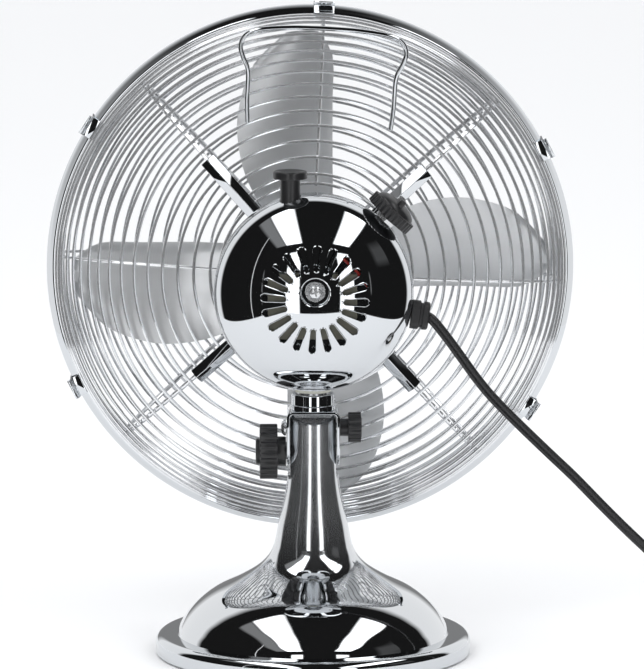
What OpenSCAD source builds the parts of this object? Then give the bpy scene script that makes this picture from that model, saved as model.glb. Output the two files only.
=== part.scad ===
// Desk fan: a chrome bell base, a tilting and oscillating head, wire guards and four blades.
// Millimetres. +Z is up, the air blows towards +Y, and the origin is in the middle of the
// foot pad's underside.

/* [Fan] */
// Height of the fan's axis above the table
axis_h = 230.5; // [228:0.5:234]
// Diameter of the circle that the blades sweep
blade_d = 300; // [290:1:301]
// Turn of the head about the fan's axis, as it was screwed on
head_turn = -3; // [-6:1:6]
// Distance of the guards' rim plane in front of the column
rim_y = 87; // [86:0.5:90]

/* [Base] */
// Diameter of the chrome base disc
base_d = 196; // [190:1:210]
// Height of the base disc's flat top
base_h = 13; // [12:0.5:14]
// Diameter of the foot pad
pad_d = 176; // [160:1:180]
// Radius of the bell at its foot
bell_r = 84.7; // [82:0.1:86]
// Height of the column's top
column_top = 150.5; // [150:0.1:151]

/* [Tilt] */
// Height of the tilt pivot
pivot_h = 142; // [141:0.5:143]
// Distance of the locking stud below the pivot
lock_drop = 15; // [14.5:0.5:15.5]
// Width of the tilt bracket over its arms
bracket_w = 33; // [33:0.5:36]
// Depth of the tilt bracket's arms, front to back
bracket_depth = 25; // [22:0.5:26]
// Diameter of the big tilt knob
tilt_knob_d = 34.5; // [30:0.5:36]

/* [Head] */
// Largest radius of the rear cover
cover_r = 61.5; // [60:0.5:62]
// Depth of the rear cover behind its largest section
cover_depth = 38; // [37:0.5:40]
// Number of vent slots
slot_count = 20; // [16:1:22]
// Thickness of the pressed covers
cover_wall = 1.5; // [1:0.1:2]

/* [Guards] */
// Radius of the guards' domes
dome_r = 161; // [160:0.5:161]
// Height of the domes between rim and middle
dome_depth = 30.5; // [28:0.5:31]
// Diameter of the ring wires and of the thin spokes
ring_wire = 2; // [1.6:0.1:2.2]
// Diameter of the thick spokes
spoke_wire = 3; // [2.6:0.1:3.2]
// Outside radius of the trim ring
trim_r = 166.5; // [166:0.1:168]
// Width of the trim ring along the fan's axis
trim_w = 15; // [14:0.5:16]

/* [Blades] */
// Number of blades
blade_count = 4; // [3:1:4]
// Pitch of the blades at the root
root_pitch = 30; // [26:1:32]
// Pitch of the blades at the tip
tip_pitch = 21; // [18:1:24]
// Thickness of the blade sheet
blade_t = 1.2; // [0.8:0.1:1.5]

/* [Controls] */
// Direction of the speed knob, up from the right
speed_at = 46; // [40:1:50]
// Diameter of the speed knob's ribbed skirt
speed_d = 31.5; // [28:0.5:32]
// Diameter of the oscillation knob's cap
pull_d = 21; // [18:0.5:22]

/* [Cord] */
// Width of the flat twin cord
cord_d = 6.2; // [6:0.1:6.4]
// Middle diameter of the cord's coil
coil_d = 70; // [66:1:74]

/* [Hidden] */
$fn = 64;

column_half = 14.2;
lock_h = pivot_h - lock_drop;
// Height over the pivot at which the column's top is cut back
relief_h = 8.6;
arm_t = 2;
// Height of the motor neck's top from the fan's axis
neck_top = -40.5;
cover_y = 25;
pull_x = -14.5;
pull_back = 30;
switch_back = 25;
rim_gap = 6.5;
rim_wire = 3;
rim_wire_r = 162.4;
first_ring = 84.7;
ring_step = 4.1;
inner_ring = 57.5;
boss_r = 30;
bolt_r = 36;
leaf_t = 1;

// ---- curves ----

// Points of an arc about (cx, cy), from angle a0 to a1
function arc(cx, cy, r, a0, a1, n = 10) =
    [for (i = [0:n]) let (a = a0 + (a1 - a0) * i / n) [cx + r * cos(a), cy + r * sin(a)]];

// Points of a quarter-like stretch of an ellipse
function ellipse_arc(cx, cy, rx, ry, a0, a1, n = 20) =
    [for (i = [0:n]) let (a = a0 + (a1 - a0) * i / n) [cx + rx * cos(a), cy + ry * sin(a)]];

function spline_point(a, b, c, d, t) =
    0.5 * (2 * b + (c - a) * t + (2 * a - 5 * b + 4 * c - d) * t * t + (3 * b - a - 3 * c + d) * t * t * t);

// A smooth line through the points p, with n steps between neighbours
function smooth(p, n = 4) = [
    for (i = [0:len(p) - 2], k = [0:n - 1])
        spline_point(p[max(i - 1, 0)], p[i], p[i + 1], p[min(i + 2, len(p) - 1)], k / n),
    p[len(p) - 1]
];

function unit(v) = v / norm(v);
function mix(a, b, t) = a + (b - a) * t;
function ease(t) = let (c = min(max(t, 0), 1)) c * c * (3 - 2 * c);

// ---- shared shapes ----

// A wire of radius r along a path; ref is never along the path
module sweep(path, r, ref, n = 8) {
    m = len(path);
    points = [
        for (i = [0:m - 1])
            let (
                t = unit(path[min(i + 1, m - 1)] - path[max(i - 1, 0)]),
                a = unit(cross(t, ref)),
                b = cross(a, t)
            )
            for (k = [0:n - 1]) path[i] + r * (cos(360 * k / n) * a + sin(360 * k / n) * b)
    ];
    sides = [
        for (i = [0:m - 2], k = [0:n - 1])
            let (l = (k + 1) % n)
            each [
                [i * n + k, i * n + l, (i + 1) * n + l],
                [i * n + k, (i + 1) * n + l, (i + 1) * n + k]
            ]
    ];
    ends = [[for (k = [n - 1:-1:0]) k], [for (k = [0:n - 1]) (m - 1) * n + k]];
    polyhedron(points, concat(ends, sides));
}

// A sheet of thickness t along z through a grid of points, rows by columns
module sheet(grid, t) {
    rows = len(grid);
    cols = len(grid[0]);
    count = rows * cols;
    points = [for (z = [-t / 2, t / 2], row = grid, p = row) p + [0, 0, z]];
    faces = [
        for (i = [0:rows - 2], j = [0:cols - 2])
            let (a = i * cols + j, b = a + 1, c = a + cols, d = c + 1)
            each [[a, b, d], [a, d, c], [count + a, count + d, count + b], [count + a, count + c, count + d]]
    ];
    rim = concat(
        [for (j = [0:cols - 1]) j],
        [for (i = [1:rows - 1]) i * cols + cols - 1],
        [for (j = [cols - 2:-1:0]) (rows - 1) * cols + j],
        [for (i = [rows - 2:-1:1]) i * cols]
    );
    edge = [
        for (k = [0:len(rim) - 1])
            let (a = rim[k], b = rim[(k + 1) % len(rim)])
            each [[a, count + a, count + b], [a, count + b, b]]
    ];
    polyhedron(points, concat(faces, edge));
}

// The fan's own frame: x to the right, y up and z to the back, from the axis at the column
module on_axis() {
    translate([0, 0, axis_h]) rotate([90, 0, 0]) children();
}

module head_frame() {
    on_axis() rotate([0, 0, head_turn]) children();
}

module ring(r_out, r_in, z0, z1) {
    translate([0, 0, z0]) difference() {
        cylinder(h = z1 - z0, r = r_out);
        translate([0, 0, -1]) cylinder(h = z1 - z0 + 2, r = r_in);
    }
}

module torus(r, wire, z) {
    translate([0, 0, z]) rotate_extrude() translate([r, 0]) circle(d = wire, $fn = 24);
}

// A ribbed knob along +z: a body with flutes round its edge
module fluted(d, h, flutes, flute_d) {
    difference() {
        cylinder(h = h, d = d);
        for (i = [0:flutes - 1]) rotate([0, 0, 360 * (i + 0.5) / flutes])
            translate([d / 2 + flute_d * 0.2, 0, -1]) cylinder(h = h + 2, d = flute_d);
    }
}

// A round-ended bar outline, l long in all and w wide
module stadium(l, w) {
    square([l - w, w], center = true);
    for (s = [-1, 1]) translate([s * (l - w) / 2, 0]) circle(d = w);
}

module screw_at(head_d, head_h, shank_d, shank_l) {
    rotate_extrude() polygon(concat(
        [[0, -shank_l], [shank_d / 2, -shank_l], [shank_d / 2, 0], [head_d / 2, 0]],
        [[head_d / 2, head_h * 0.4]],
        [[head_d * 0.36, head_h * 0.85], [head_d * 0.2, head_h], [0, head_h]]
    ));
}

// ---- base ----

module base_holes(d, z0, h) {
    for (i = [0:2]) rotate([0, 0, 120 * i + 30]) translate([60, 0, z0]) cylinder(h = h, d = d);
}

module foot_pad() {
    color("#26262a") difference() {
        cylinder(h = 2, d = pad_d);
        base_holes(10, -1, 4);
    }
}

module base_plate() {
    color("#8f9296") difference() {
        translate([0, 0, 2]) cylinder(h = 1.6, r = base_d / 2 - 2.3);
        base_holes(4, 1, 4);
    }
}

module base_weight() {
    color("#4c4d50") difference() {
        ring(70, 25, 3.6, 24);
        base_holes(4, 3, 12);
    }
}

module base_screws() {
    color("#b9bcc0") for (i = [0:2]) rotate([0, 0, 120 * i + 30])
        translate([60, 0, 2]) rotate([180, 0, 0]) screw_at(8, 1.5, 4, 11);
}

module base_disc() {
    r = base_d / 2;
    color("#dfe3e7") rotate_extrude($fn = 128) polygon(concat(
        [[r - 2, 1], [r - 0.5, 1], [r, 1.6]],
        arc(r - 5, base_h - 5, 5, 0, 90, 12),
        [[76, base_h], [76, base_h - 2], [r - 5, base_h - 2]],
        arc(r - 5, base_h - 5, 3, 90, 0, 8)
    ));
}

// Outside of the bell and column: dome, flare, then a slim taper
bell_line = concat(
    smooth([
        [bell_r, base_h], [82.4, 18.6], [77.4, 26.4], [70, 34], [60.3, 40.8], [46, 47.8], [34.6, 54.8],
        [27.8, 61.8], [24.3, 68.9]
    ], 4),
    smooth([[23.2, 73.5], [21.6, 82.4], [18.6, 95], [16.1, 110], [15, 130], [14.6, column_top]], 3)
);

// Radius of the bore that the column's head is pressed into
bore_r = 12.4;

module pedestal_hollow() {
    rotate_extrude($fn = 128) polygon(concat(
        [[0, base_h - 1], [bell_r - 2, base_h - 1]],
        [for (p = bell_line) if (p.y > base_h + 1 && p.y < 96) [p.x - 2, p.y - 1.2]],
        [[bore_r, 104], [bore_r, column_top + 10], [0, column_top + 10]]
    ));
}

// What the column's top loses so that the bracket can turn over it
module column_relief() {
    for (s = [-1, 1]) {
        translate([s * (column_half + 20), 0, pivot_h + 11]) cube([40, 60, 80], center = true);
        translate([0, 0, pivot_h]) rotate([s * 20, 0, 0]) translate([-30, -30, relief_h]) cube([60, 60, 30]);
    }
}

module cross_bores(d_pivot, d_lock) {
    translate([0, 0, pivot_h]) rotate([0, 90, 0]) cylinder(h = 60, d = d_pivot, center = true);
    translate([-30, 0, lock_h]) rotate([0, 90, 0]) cylinder(h = 38, d = d_lock);
}

module pedestal() {
    color("#dfe3e7") difference() {
        rotate_extrude($fn = 128) polygon(concat([[0, base_h]], bell_line, [[0, column_top]]));
        pedestal_hollow();
        column_relief();
        cross_bores(6.1, 5.1);
    }
}

module column_head() {
    color("#a9acb0") difference() {
        translate([0, 0, 112]) cylinder(h = column_top - 1.5 - 112, r = bore_r);
        column_relief();
        cross_bores(6, 5.1);
    }
}

module pivot_bolt() {
    color("#c9ccd0") translate([-bracket_w / 2 - 0.3, 0, pivot_h]) rotate([0, 90, 0])
        mirror([0, 0, 1]) screw_at(10, 3, 6, 46);
}

// ---- tilt bracket and swivel ----

module bracket_profile() {
    w = bracket_w / 2;
    top = pivot_h + 11.7;
    low = pivot_h - 24;
    polygon(concat(
        [[w, low]], arc(w - 4, top - 4, 4, 0, 90, 6), arc(-w + 4, top - 4, 4, 90, 180, 6),
        [[-w, low], [-w + arm_t, low]],
        arc(-w + 4, top - 4, 4 - arm_t, 180, 90, 5), arc(w - 4, top - 4, 4 - arm_t, 90, 0, 5),
        [[w - arm_t, low]]
    ));
}

module tilt_bracket() {
    low_round = bracket_depth / 2;
    color("#d8dce0") difference() {
        intersection() {
            rotate([90, 0, 0]) linear_extrude(bracket_depth, center = true) bracket_profile();
            rotate([90, 0, 90]) linear_extrude(bracket_w + 2, center = true) union() {
                translate([-bracket_depth / 2, pivot_h - 11]) square([bracket_depth, 30]);
                translate([0, pivot_h - 11]) circle(r = low_round);
            }
        }
        translate([0, 0, pivot_h]) rotate([0, 90, 0]) cylinder(h = 60, d = 6.2, center = true);
        // The locking stud's slot, an arc about the pivot
        for (a = [-24, 24]) translate([-bracket_w / 2, 0, pivot_h]) rotate([a, 0, 0])
            translate([0, 0, -lock_drop]) rotate([0, 90, 0]) cylinder(h = 8, d = 5.8, center = true);
        translate([-bracket_w / 2 - 4, 0, pivot_h]) rotate([90, 0, 90]) linear_extrude(8)
            polygon(concat(
                arc(0, 0, lock_drop + 2.9, -114, -66, 12), arc(0, 0, lock_drop - 2.9, -66, -114, 12)
            ));
        translate([0, 0, pivot_h + 5]) cylinder(h = 20, d = 8);
    }
}

post_low = pivot_h + 11.7;
post_high = post_low + 10;

module swivel_post() {
    color("#d3d7db") difference() {
        rotate_extrude() polygon([
            [0, post_low - 2], [4, post_low - 2], [4, post_low], [14, post_low], [14, post_low + 3],
            [13.4, post_low + 3.4], [13.4, post_high - 0.8], [12.6, post_high], [6, post_high],
            [6, post_high + 21], [5.2, post_high + 22], [0, post_high + 22]
        ]);
        translate([8, 0, post_low + 6]) rotate([0, 90, 0]) cylinder(h = 10, d = 3);
    }
}

module collar_screw() {
    color("#77797c") translate([8, 0, post_low + 6]) rotate([0, 90, 0]) difference() {
        cylinder(h = 5.8, d = 3);
        translate([0, 0, 4.6]) cylinder(h = 3, d = 1.5, $fn = 6);
    }
}

module swivel_washer() {
    color("#9b9ea2") ring(10, 6, post_high, post_high + 0.8);
}

// ---- tilt and pivot knobs ----

module tilt_knob() {
    color("#141416") translate([-bracket_w / 2 - 0.3, 0, lock_h]) rotate([0, -90, 0]) difference() {
        union() {
            cylinder(h = 5.4, d = 18.6);
            translate([0, 0, 5.3]) fluted(tilt_knob_d, 11, 16, 4.4);
            translate([0, 0, 16.2]) cylinder(h = 2.6, d = 16.4);
        }
        translate([0, 0, -1]) cylinder(h = 15, d = 5);
    }
}

module tilt_stud() {
    color("#b9bcc0") translate([-bracket_w / 2 - 14, 0, lock_h]) rotate([0, 90, 0])
        cylinder(h = 20, d = 5);
}

module pivot_knob() {
    color("#141416") translate([bracket_w / 2 + 0.3, 0, pivot_h]) rotate([0, 90, 0]) difference() {
        union() {
            cylinder(h = 5.1, d = 11);
            translate([0, 0, 5]) fluted(19, 8, 14, 2.6);
        }
        translate([0, 0, -1]) cylinder(h = 14.4, d = 6.1);
    }
}

// ---- head covers ----

// Outside of the rear cover, from the back's middle to the front lip; grow moves it outwards
function cover_line(grow) = concat(
    ellipse_arc(0, cover_y, cover_r + grow, cover_depth + grow, 90, 0, 26),
    ellipse_arc(0, cover_y, cover_r + grow, 51.5 + grow, -2, -35.6, 10)
);

module cover_solid(grow) {
    rotate_extrude($fn = 128) polygon(concat(cover_line(grow), [[0, -5]]));
}

module vent_slot() {
    inner = 17.3 + 1.95;
    outer = 33.3 - 2.55;
    translate([inner, 0]) cylinder(h = 30, d = 3.9, $fn = 32);
    translate([outer, 0]) cylinder(h = 30, d = 5.1, $fn = 32);
    linear_extrude(30) polygon([[inner, -1.94], [outer, -2.54], [outer, 2.54], [inner, 1.94]]);
}

// The motor's neck passes through both covers here
module neck_way() {
    rotate([0, 0, -head_turn]) translate([0, -25, 0]) rotate([90, 0, 0]) cylinder(h = 60, d = 26);
}

module bush_way(grow) {
    rotate([0, 0, -head_turn]) translate([40, -12.5, cover_y]) rotate([0, 0, -8]) rotate([0, 90, 0])
        rotate([0, 0, 90]) linear_extrude(40) stadium(14 + grow, 7 + grow);
}

module speed_frame() {
    rotate([0, 0, speed_at - head_turn]) translate([0, 0, switch_back]) rotate([0, 90, 0]) children();
}

module rear_cover() {
    cup_at = 5;
    color("#e2e6ea") head_frame() difference() {
        union() {
            difference() {
                cover_solid(0);
                rotate_extrude($fn = 128) polygon(concat(cover_line(-cover_wall), [[0, -6]]));
                translate([0, 0, -10]) cylinder(h = 8, r = 48.4);
                translate([0, cup_at, 50]) cylinder(h = 20, d = 17);
            }
            translate([0, cup_at, 56.4]) cylinder(h = 5.8, d = 19.6);
        }
        translate([0, cup_at, 58]) cylinder(h = 8, d = 16.6);
        translate([0, cup_at, 50]) cylinder(h = 10, d = 4.3);
        for (i = [0:slot_count - 1]) rotate([0, 0, i * 360 / slot_count])
            translate([0, 0, 45]) vent_slot();
        neck_way();
        bush_way(0);
        speed_frame() cylinder(h = 80, d = 9.4);
        rotate([0, 0, -head_turn]) translate([pull_x, 30, pull_back]) rotate([-90, 0, 0])
            cylinder(h = 50, d = 13);
    }
}

module cover_washer() {
    color("#c4c7cb") head_frame() translate([0, 5, 0]) ring(6.2, 2.15, 58, 59);
}

module cover_screw() {
    color("#cfd2d6") head_frame() translate([0, 5, 59]) difference() {
        screw_at(8.6, 3, 4, 15);
        for (a = [0, 90]) rotate([0, 0, a + 20]) translate([0, 0, 2.6]) cube([5, 1, 2], center = true);
    }
}

module front_cover() {
    r = 50;
    color("#d9dde1") head_frame() difference() {
        rotate_extrude($fn = 96) polygon(concat(
            [[48.2, 0], [48.2, -6], [r, -6]], arc(r - 10, -44, 10, 0, -90, 10),
            [[11, -54], [11, -52.8], [r - 10, -52.8]], arc(r - 10, -44, 8.8, -90, 0, 8),
            [[r - 1.2, -7.4], [46.8, -7.4], [46.8, 0]]
        ));
        neck_way();
        for (i = [0:3]) rotate([0, 0, 45 + 90 * i]) translate([boss_r, 0, -60]) cylinder(h = 20, d = 4.2);
    }
}

// ---- motor ----

module bolt_ways(d) {
    for (i = [0:3]) rotate([0, 0, 90 * i]) translate([bolt_r, 0, -70]) cylinder(h = 100, d = d);
}

module motor_frame() {
    color("#9fa2a5") head_frame() difference() {
        union() {
            translate([0, 0, 2]) cylinder(h = 4, r = 44);
            translate([0, 0, 2]) cylinder(h = 14, r = 10);
            rotate([0, 0, -head_turn]) rotate([90, 0, 0]) translate([0, 0, -neck_top])
                cylinder(h = axis_h + neck_top - post_high - 1.1, r = 11);
        }
        translate([0, 0, 0]) cylinder(h = 20, r = 6);
        bolt_ways(4);
        rotate([0, 0, -head_turn]) rotate([90, 0, 0]) translate([0, 0, 44])
            cylinder(h = 60, r = 6.05);
    }
}

module front_bearing_bracket() {
    color("#9fa2a5") head_frame() difference() {
        union() {
            translate([0, 0, -48]) cylinder(h = 4, r = 44);
            translate([0, 0, -54]) cylinder(h = 10, r = 10);
            for (i = [0:3]) rotate([0, 0, 45 + 90 * i]) translate([boss_r, 0, -52.8])
                cylinder(h = 6, r = 4);
        }
        translate([0, 0, -60]) cylinder(h = 20, r = 6);
        bolt_ways(4);
        for (i = [0:3]) rotate([0, 0, 45 + 90 * i]) translate([boss_r, 0, -60]) cylinder(h = 14, d = 4);
    }
}

module shaft_bushes() {
    color("#a9814a") on_axis() for (z = [[-54, -44], [2, 16]]) ring(6, 4.05, z[0], z[1]);
}

module stator_core() {
    color("#6d6f73") head_frame() difference() {
        ring(40, 20.5, -34, -10);
        bolt_ways(4);
        for (i = [0:7]) rotate([0, 0, 45 * i + 22.5]) translate([27, 0, -40]) {
            cylinder(h = 40, d = 7, $fn = 24);
            translate([-8, -1, 0]) cube([8, 2, 40]);
        }
    }
}

module stator_coils() {
    color("#b0602c") head_frame() for (z = [[-10, -3.5], [-41, -34]]) rotate_extrude()
        polygon([[22, z[0]], [31, z[0]], [33, mix(z[0], z[1], 0.4)], [30, z[1]], [24, z[1]], [22, mix(z[0], z[1], 0.5)]]);
}

module motor_bolts() {
    color("#b9bcc0") head_frame() for (i = [0:3]) rotate([0, 0, 90 * i]) translate([bolt_r, 0, 0]) {
        translate([0, 0, -51]) cylinder(h = 3, d = 7, $fn = 6);
        translate([0, 0, -48]) cylinder(h = 57, d = 4);
        translate([0, 0, 6]) cylinder(h = 3, d = 7, $fn = 6);
    }
}

module gearbox() {
    color("#8c8f92") on_axis() difference() {
        union() {
            translate([-28.5, -25.5, 10]) cube([54.5, 40, 40]);
            rotate([0, 0, head_turn]) translate([0, 5, 49]) cylinder(h = 7.4, r = 5);
        }
        translate([-26, -23, 12.5]) cube([49.5, 35, 35]);
        translate([0, 0, 5]) cylinder(h = 10, r = 10.2);
        rotate([0, 0, head_turn]) translate([0, 5, 40]) cylinder(h = 30, d = 4);
        translate([pull_x, 10, pull_back]) rotate([-90, 0, 0]) cylinder(h = 20, d = 6.4);
        // The crank's stub comes out of the floor here
        translate([5.5, -30, pull_back]) rotate([-90, 0, 0]) cylinder(h = 8, d = 8.4);
        translate([pull_x, -30, pull_back]) rotate([-90, 0, 0]) cylinder(h = 8, d = 5.1);
    }
}

// A toothed wheel of n teeth, its teeth narrow enough to run free in its mate
module wheel(pitch, n, tooth, h, bore) {
    half = 360 / n / 4;
    difference() {
        linear_extrude(h) polygon([
            for (i = [0:n - 1])
                let (a = i * 360 / n)
                each [
                    (pitch - tooth * 1.3) * [cos(a - half * 1.2), sin(a - half * 1.2)],
                    (pitch + tooth * 0.35) * [cos(a - half * 0.45), sin(a - half * 0.45)],
                    (pitch + tooth * 0.35) * [cos(a + half * 0.45), sin(a + half * 0.45)],
                    (pitch - tooth * 1.3) * [cos(a + half * 1.2), sin(a + half * 1.2)]
                ]
        ]);
        translate([0, 0, -1]) cylinder(h = h + 2, d = bore);
    }
}

// A vertical gear shaft's place inside the gearbox, drawn upright from height v
module upright(x, v) {
    translate([x, -pull_back, axis_h + v]) children();
}

module worm_wheel() {
    color("#c9a24a") upright(pull_x, -3) wheel(9.2, 36, 0.8, 6, 5.2);
}

module clutch_spindle() {
    color("#a9acb0") upright(pull_x, 0) difference() {
        union() {
            translate([0, 0, -25]) cylinder(h = 29, d = 5);
            translate([0, 0, -21]) wheel(4, 8, 0.9, 6, 1);
        }
        translate([0, 0, 2]) cylinder(h = 4, d = 2);
    }
}

module crank_gear() {
    color("#c9a24a") upright(5.5, 0) {
        translate([0, 0, -20.5]) rotate([0, 0, 180 / 32]) wheel(16, 32, 0.9, 5, 1);
        translate([0, 0, -28.5]) cylinder(h = 12, d = 8);
        translate([0, 0, -30.5]) cylinder(h = 2.2, d = 16);
        translate([4, 0, -35]) cylinder(h = 5, d = 4);
    }
}

// The arm stands on the neck's top, behind the motor frame's disc
module link_arm() {
    back_end = 24;
    nut_end = 9.3;
    arm_w = 5;
    color("#b0b3b7") upright(0, 0) translate([0, pull_back, neck_top]) difference() {
        union() {
            translate([-arm_w / 2, -back_end, 0]) cube([arm_w, back_end - nut_end, 2]);
            // Thin tongue that passes under the lowest motor bolt's nut
            translate([-arm_w / 2, -nut_end - 0.1, 0]) cube([arm_w, nut_end - 5.95, 0.7]);
            translate([0, -back_end, 0]) cylinder(h = 2, d = 8);
        }
        translate([0, -back_end, -1]) cylinder(h = 4, d = 4.4);
    }
}

module motor_leads() {
    leads = [
        [[14, 26, 47], [16, 30, 50], [22, 27, 51], [29, 22, 48], [36, 17, 44]],
        [[17, 24, 46], [20, 27, 49], [26, 21, 50.5], [32, 13, 49.5], [38, 8, 45]],
        [[12, 22, 48], [15, 26, 51], [20, 22, 52], [27, 15, 51.5], [34, 4, 48]]
    ];
    colors = ["#b8281e", "#d6a520", "#2a4fa0"];
    on_axis() for (i = [0:2]) color(colors[i]) sweep(smooth(leads[i], 4), 0.9, [0, 0, 1], 8);
}

module speed_switch() {
    color("#3a3b3e") head_frame() speed_frame() difference() {
        union() {
            translate([0, 0, 42]) cylinder(h = 12, d = 26);
            translate([0, 0, 53.9]) cylinder(h = 10.6, d = 9.4);
        }
        translate([0, 0, 50]) cylinder(h = 20, d = 6.2);
    }
}

module switch_nut() {
    color("#b9bcc0") head_frame() speed_frame() difference() {
        translate([0, 0, 61.8]) cylinder(h = 2.2, d = 14, $fn = 6);
        translate([0, 0, 60]) cylinder(h = 6, d = 9.4);
    }
}

// ---- knobs on the head ----

module speed_knob() {
    color("#141416") head_frame() speed_frame() {
        difference() {
            translate([0, 0, 65]) fluted(speed_d, 6.8, 30, 2.4);
            translate([0, 0, 64]) cylinder(h = 3, d = 24);
        }
        translate([0, 0, 71.8]) rotate_extrude() polygon(concat(
            [[0, 0], [13.4, 0]], ellipse_arc(0, 0, 13.4, 5.6, 0, 90, 12)
        ));
        translate([0, 0, 74.6]) linear_extrude(5.1) stadium(22, 4.2);
        translate([0, 0, 51]) cylinder(h = 17, d = 6);
    }
}

module oscillation_knob() {
    color("#141416") upright(pull_x, 0) {
        rotate_extrude() polygon(concat(
            [[0, 54.5], [6.2, 54.5], [6.2, 70], [7, 71], [pull_d / 2, 71]],
            arc(pull_d / 2 - 1.4, 74.4, 1.4, 0, 90, 6),
            arc(0, 74.4 + 30, 30, -74, -90, 6)
        ));
    }
}

module clutch_rod() {
    color("#b9bcc0") upright(pull_x, 0) translate([0, 0, 11.5]) cylinder(h = 43, d = 6);
}

// ---- turning parts ----

module motor_shaft() {
    color("#b9bcc0") on_axis() translate([0, 0, -98]) cylinder(h = 142, d = 8);
}

module rotor_core() {
    color("#84868a") on_axis() {
        ring(20, 4, -34, -10);
        for (i = [0:9]) rotate([0, 0, 36 * i]) translate([13, -0.8, -10]) cube([5, 1.6, 4]);
    }
}

module worm() {
    color("#b9bcc0") on_axis() ring(4.9, 4, 20, 40);
}

hub_low = rim_y - 13;
hub_high = rim_y + 9;
blade_mid = 83 - 87 + rim_y;

module blade_hub() {
    color("#b4b7bb") on_axis() ring(13, 4, -hub_high, -hub_low);
}

// Edges of a blade that points up: x across, y outwards from the axis
blade_left = smooth([
    [-12, 24], [-25, 33], [-40, 58], [-46, 84], [-44.5, 106], [-35.5, 130], [-15, 149]
], 3);
blade_right = smooth([
    [14.3, 24], [14.3, 36], [14.3, 60], [14.3, 84], [14.3, 106], [14.3, 133], [5, 149]
], 3);

// How far forward (towards -z of the fan's frame) the blade stands at x, y
function blade_lift(x, y, half, mid) =
    let (
        pitch = mix(tan(root_pitch), tan(tip_pitch), ease((y - 48) / 100)),
        centre = -16 * ease((y - 44) / 40),
        across = (x - mid) / half
    )
    pitch * (x - centre) - 4.5 * ease((y - 46) / 30) * (1 - across * across);

function blade_grid(cols) = [
    for (i = [0:len(blade_left) - 1]) [
        for (j = [0:cols])
            let (
                p = mix(blade_left[i], blade_right[i], j / cols),
                half = (blade_right[i].x - blade_left[i].x) / 2,
                mid = (blade_right[i].x + blade_left[i].x) / 2,
                tip = ease((i / (len(blade_left) - 1) - 0.9) / 0.1),
                bulge = tip * 1.2 * (1 - pow(2 * j / cols - 1, 2)),
                q = [p.x, p.y + bulge]
            )
            [q.x, q.y, -blade_mid - blade_lift(q.x, q.y, half, mid)]
    ]
];

module each_blade() {
    on_axis() for (i = [0:blade_count - 1]) rotate([0, 0, 360 * i / blade_count]) children();
}

// The flat plane of a blade's root, with z square to it
module root_plane() {
    translate([0, 0, -blade_mid]) rotate([0, atan(tan(root_pitch)), 0]) children();
}

module rivet_ways(d) {
    for (y = [31, 41]) root_plane() translate([0, y, -10]) cylinder(h = 20, d = d);
}

module fan_blades() {
    scale_to = blade_d / 300;
    color("#c3c6c9") each_blade() difference() {
        scale([scale_to, scale_to, 1]) sheet(blade_grid(8), blade_t);
        rivet_ways(4);
    }
}

module blade_irons() {
    color("#b4b7bb") each_blade() difference() {
        root_plane() translate([-7, 14.5, blade_t / 2 + 0.05]) cube([14, 31.5, 2]);
        rivet_ways(4);
    }
}

module blade_rivets() {
    color("#d0d3d6") each_blade() for (y = [31, 41]) root_plane() translate([0, y, 0]) {
        translate([0, 0, -blade_t / 2 - 0.2]) cylinder(h = blade_t + 2.5, d = 4);
        translate([0, 0, blade_t / 2 + 2.1]) cylinder(h = 1.4, d1 = 7, d2 = 5);
        translate([0, 0, -blade_t / 2 - 1.5]) cylinder(h = 1.4, d1 = 5, d2 = 7);
    }
}

module hub_cap() {
    color("#d9dde1") on_axis() rotate_extrude() polygon(concat(
        [[0, -hub_high - 2.1], [4, -hub_high - 2.1], [4, -hub_high], [13, -hub_high]],
        ellipse_arc(0, -hub_high - 2, 13, 7, 0, -90, 10)
    ));
}

// ---- guards ----

// Point of the dome at angle a from its middle: radius, and height over the rim plane
function dome(a) = [dome_r * sin(a), rim_gap + dome_depth * cos(a)];
function dome_normal(a) = unit([dome_depth * sin(a), dome_r * cos(a)]);

// Where a spoke of wire w runs, just inside the rings, from dome angle a0 out to the rim wire
function spoke_line(a0, w) = concat(
    [
        for (i = [0:10])
            let (a = mix(a0, 90, i / 10), p = dome(a) - dome_normal(a) * (ring_wire / 2 + w / 2 + 0.06))
            [p.x, 0, p.y]
    ],
    [[dome_r - w / 2 - 0.6, 0, 4.3], [dome_r - w / 2 - 0.1, 0, 2.2]]
);

module guard_side(s) {
    head_frame() translate([0, 0, -rim_y]) mirror([0, 0, s > 0 ? 0 : 1]) children();
}

module guard_rings(s, count) {
    guard_side(s) {
        for (i = [0:count - 1]) torus(dome(first_ring - ring_step * i).x, ring_wire,
            dome(first_ring - ring_step * i).y);
        torus(rim_wire_r, rim_wire, 2.6);
    }
}

module guard_spokes(s, a0) {
    guard_side(s) for (i = [0:7]) rotate([0, 0, 45 * i])
        let (w = i % 2 == 1 ? spoke_wire : ring_wire)
            sweep(spoke_line(a0, w), w / 2, [0, 1, 0], 8);
}

module rear_guard_rings() {
    color("#cfd3d7") {
        guard_rings(1, 16);
        guard_side(1) torus(inner_ring, ring_wire, dome(asin(inner_ring / dome_r)).y);
    }
}

module rear_guard_spokes() {
    color("#cfd3d7") guard_spokes(1, asin(inner_ring / dome_r) - 0.6);
}

module front_guard_rings() {
    color("#cfd3d7") guard_rings(-1, 18);
}

module front_guard_spokes() {
    color("#cfd3d7") guard_spokes(-1, 13);
}

module front_medallion() {
    top = rim_gap + dome_depth;
    color("#d9dde1") guard_side(-1) rotate_extrude($fn = 96) polygon(concat(
        [[0, top + 0.8], [36, top - 0.6], [38.6, top - 2], [39.4, top - 1.4]],
        arc(38, top + 0.4, 1.4, 0, 90, 5),
        [[36, top + 1.4], [30, top + 1], [22, top + 2.4], [0, top + 3.2]]
    ));
}

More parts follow.
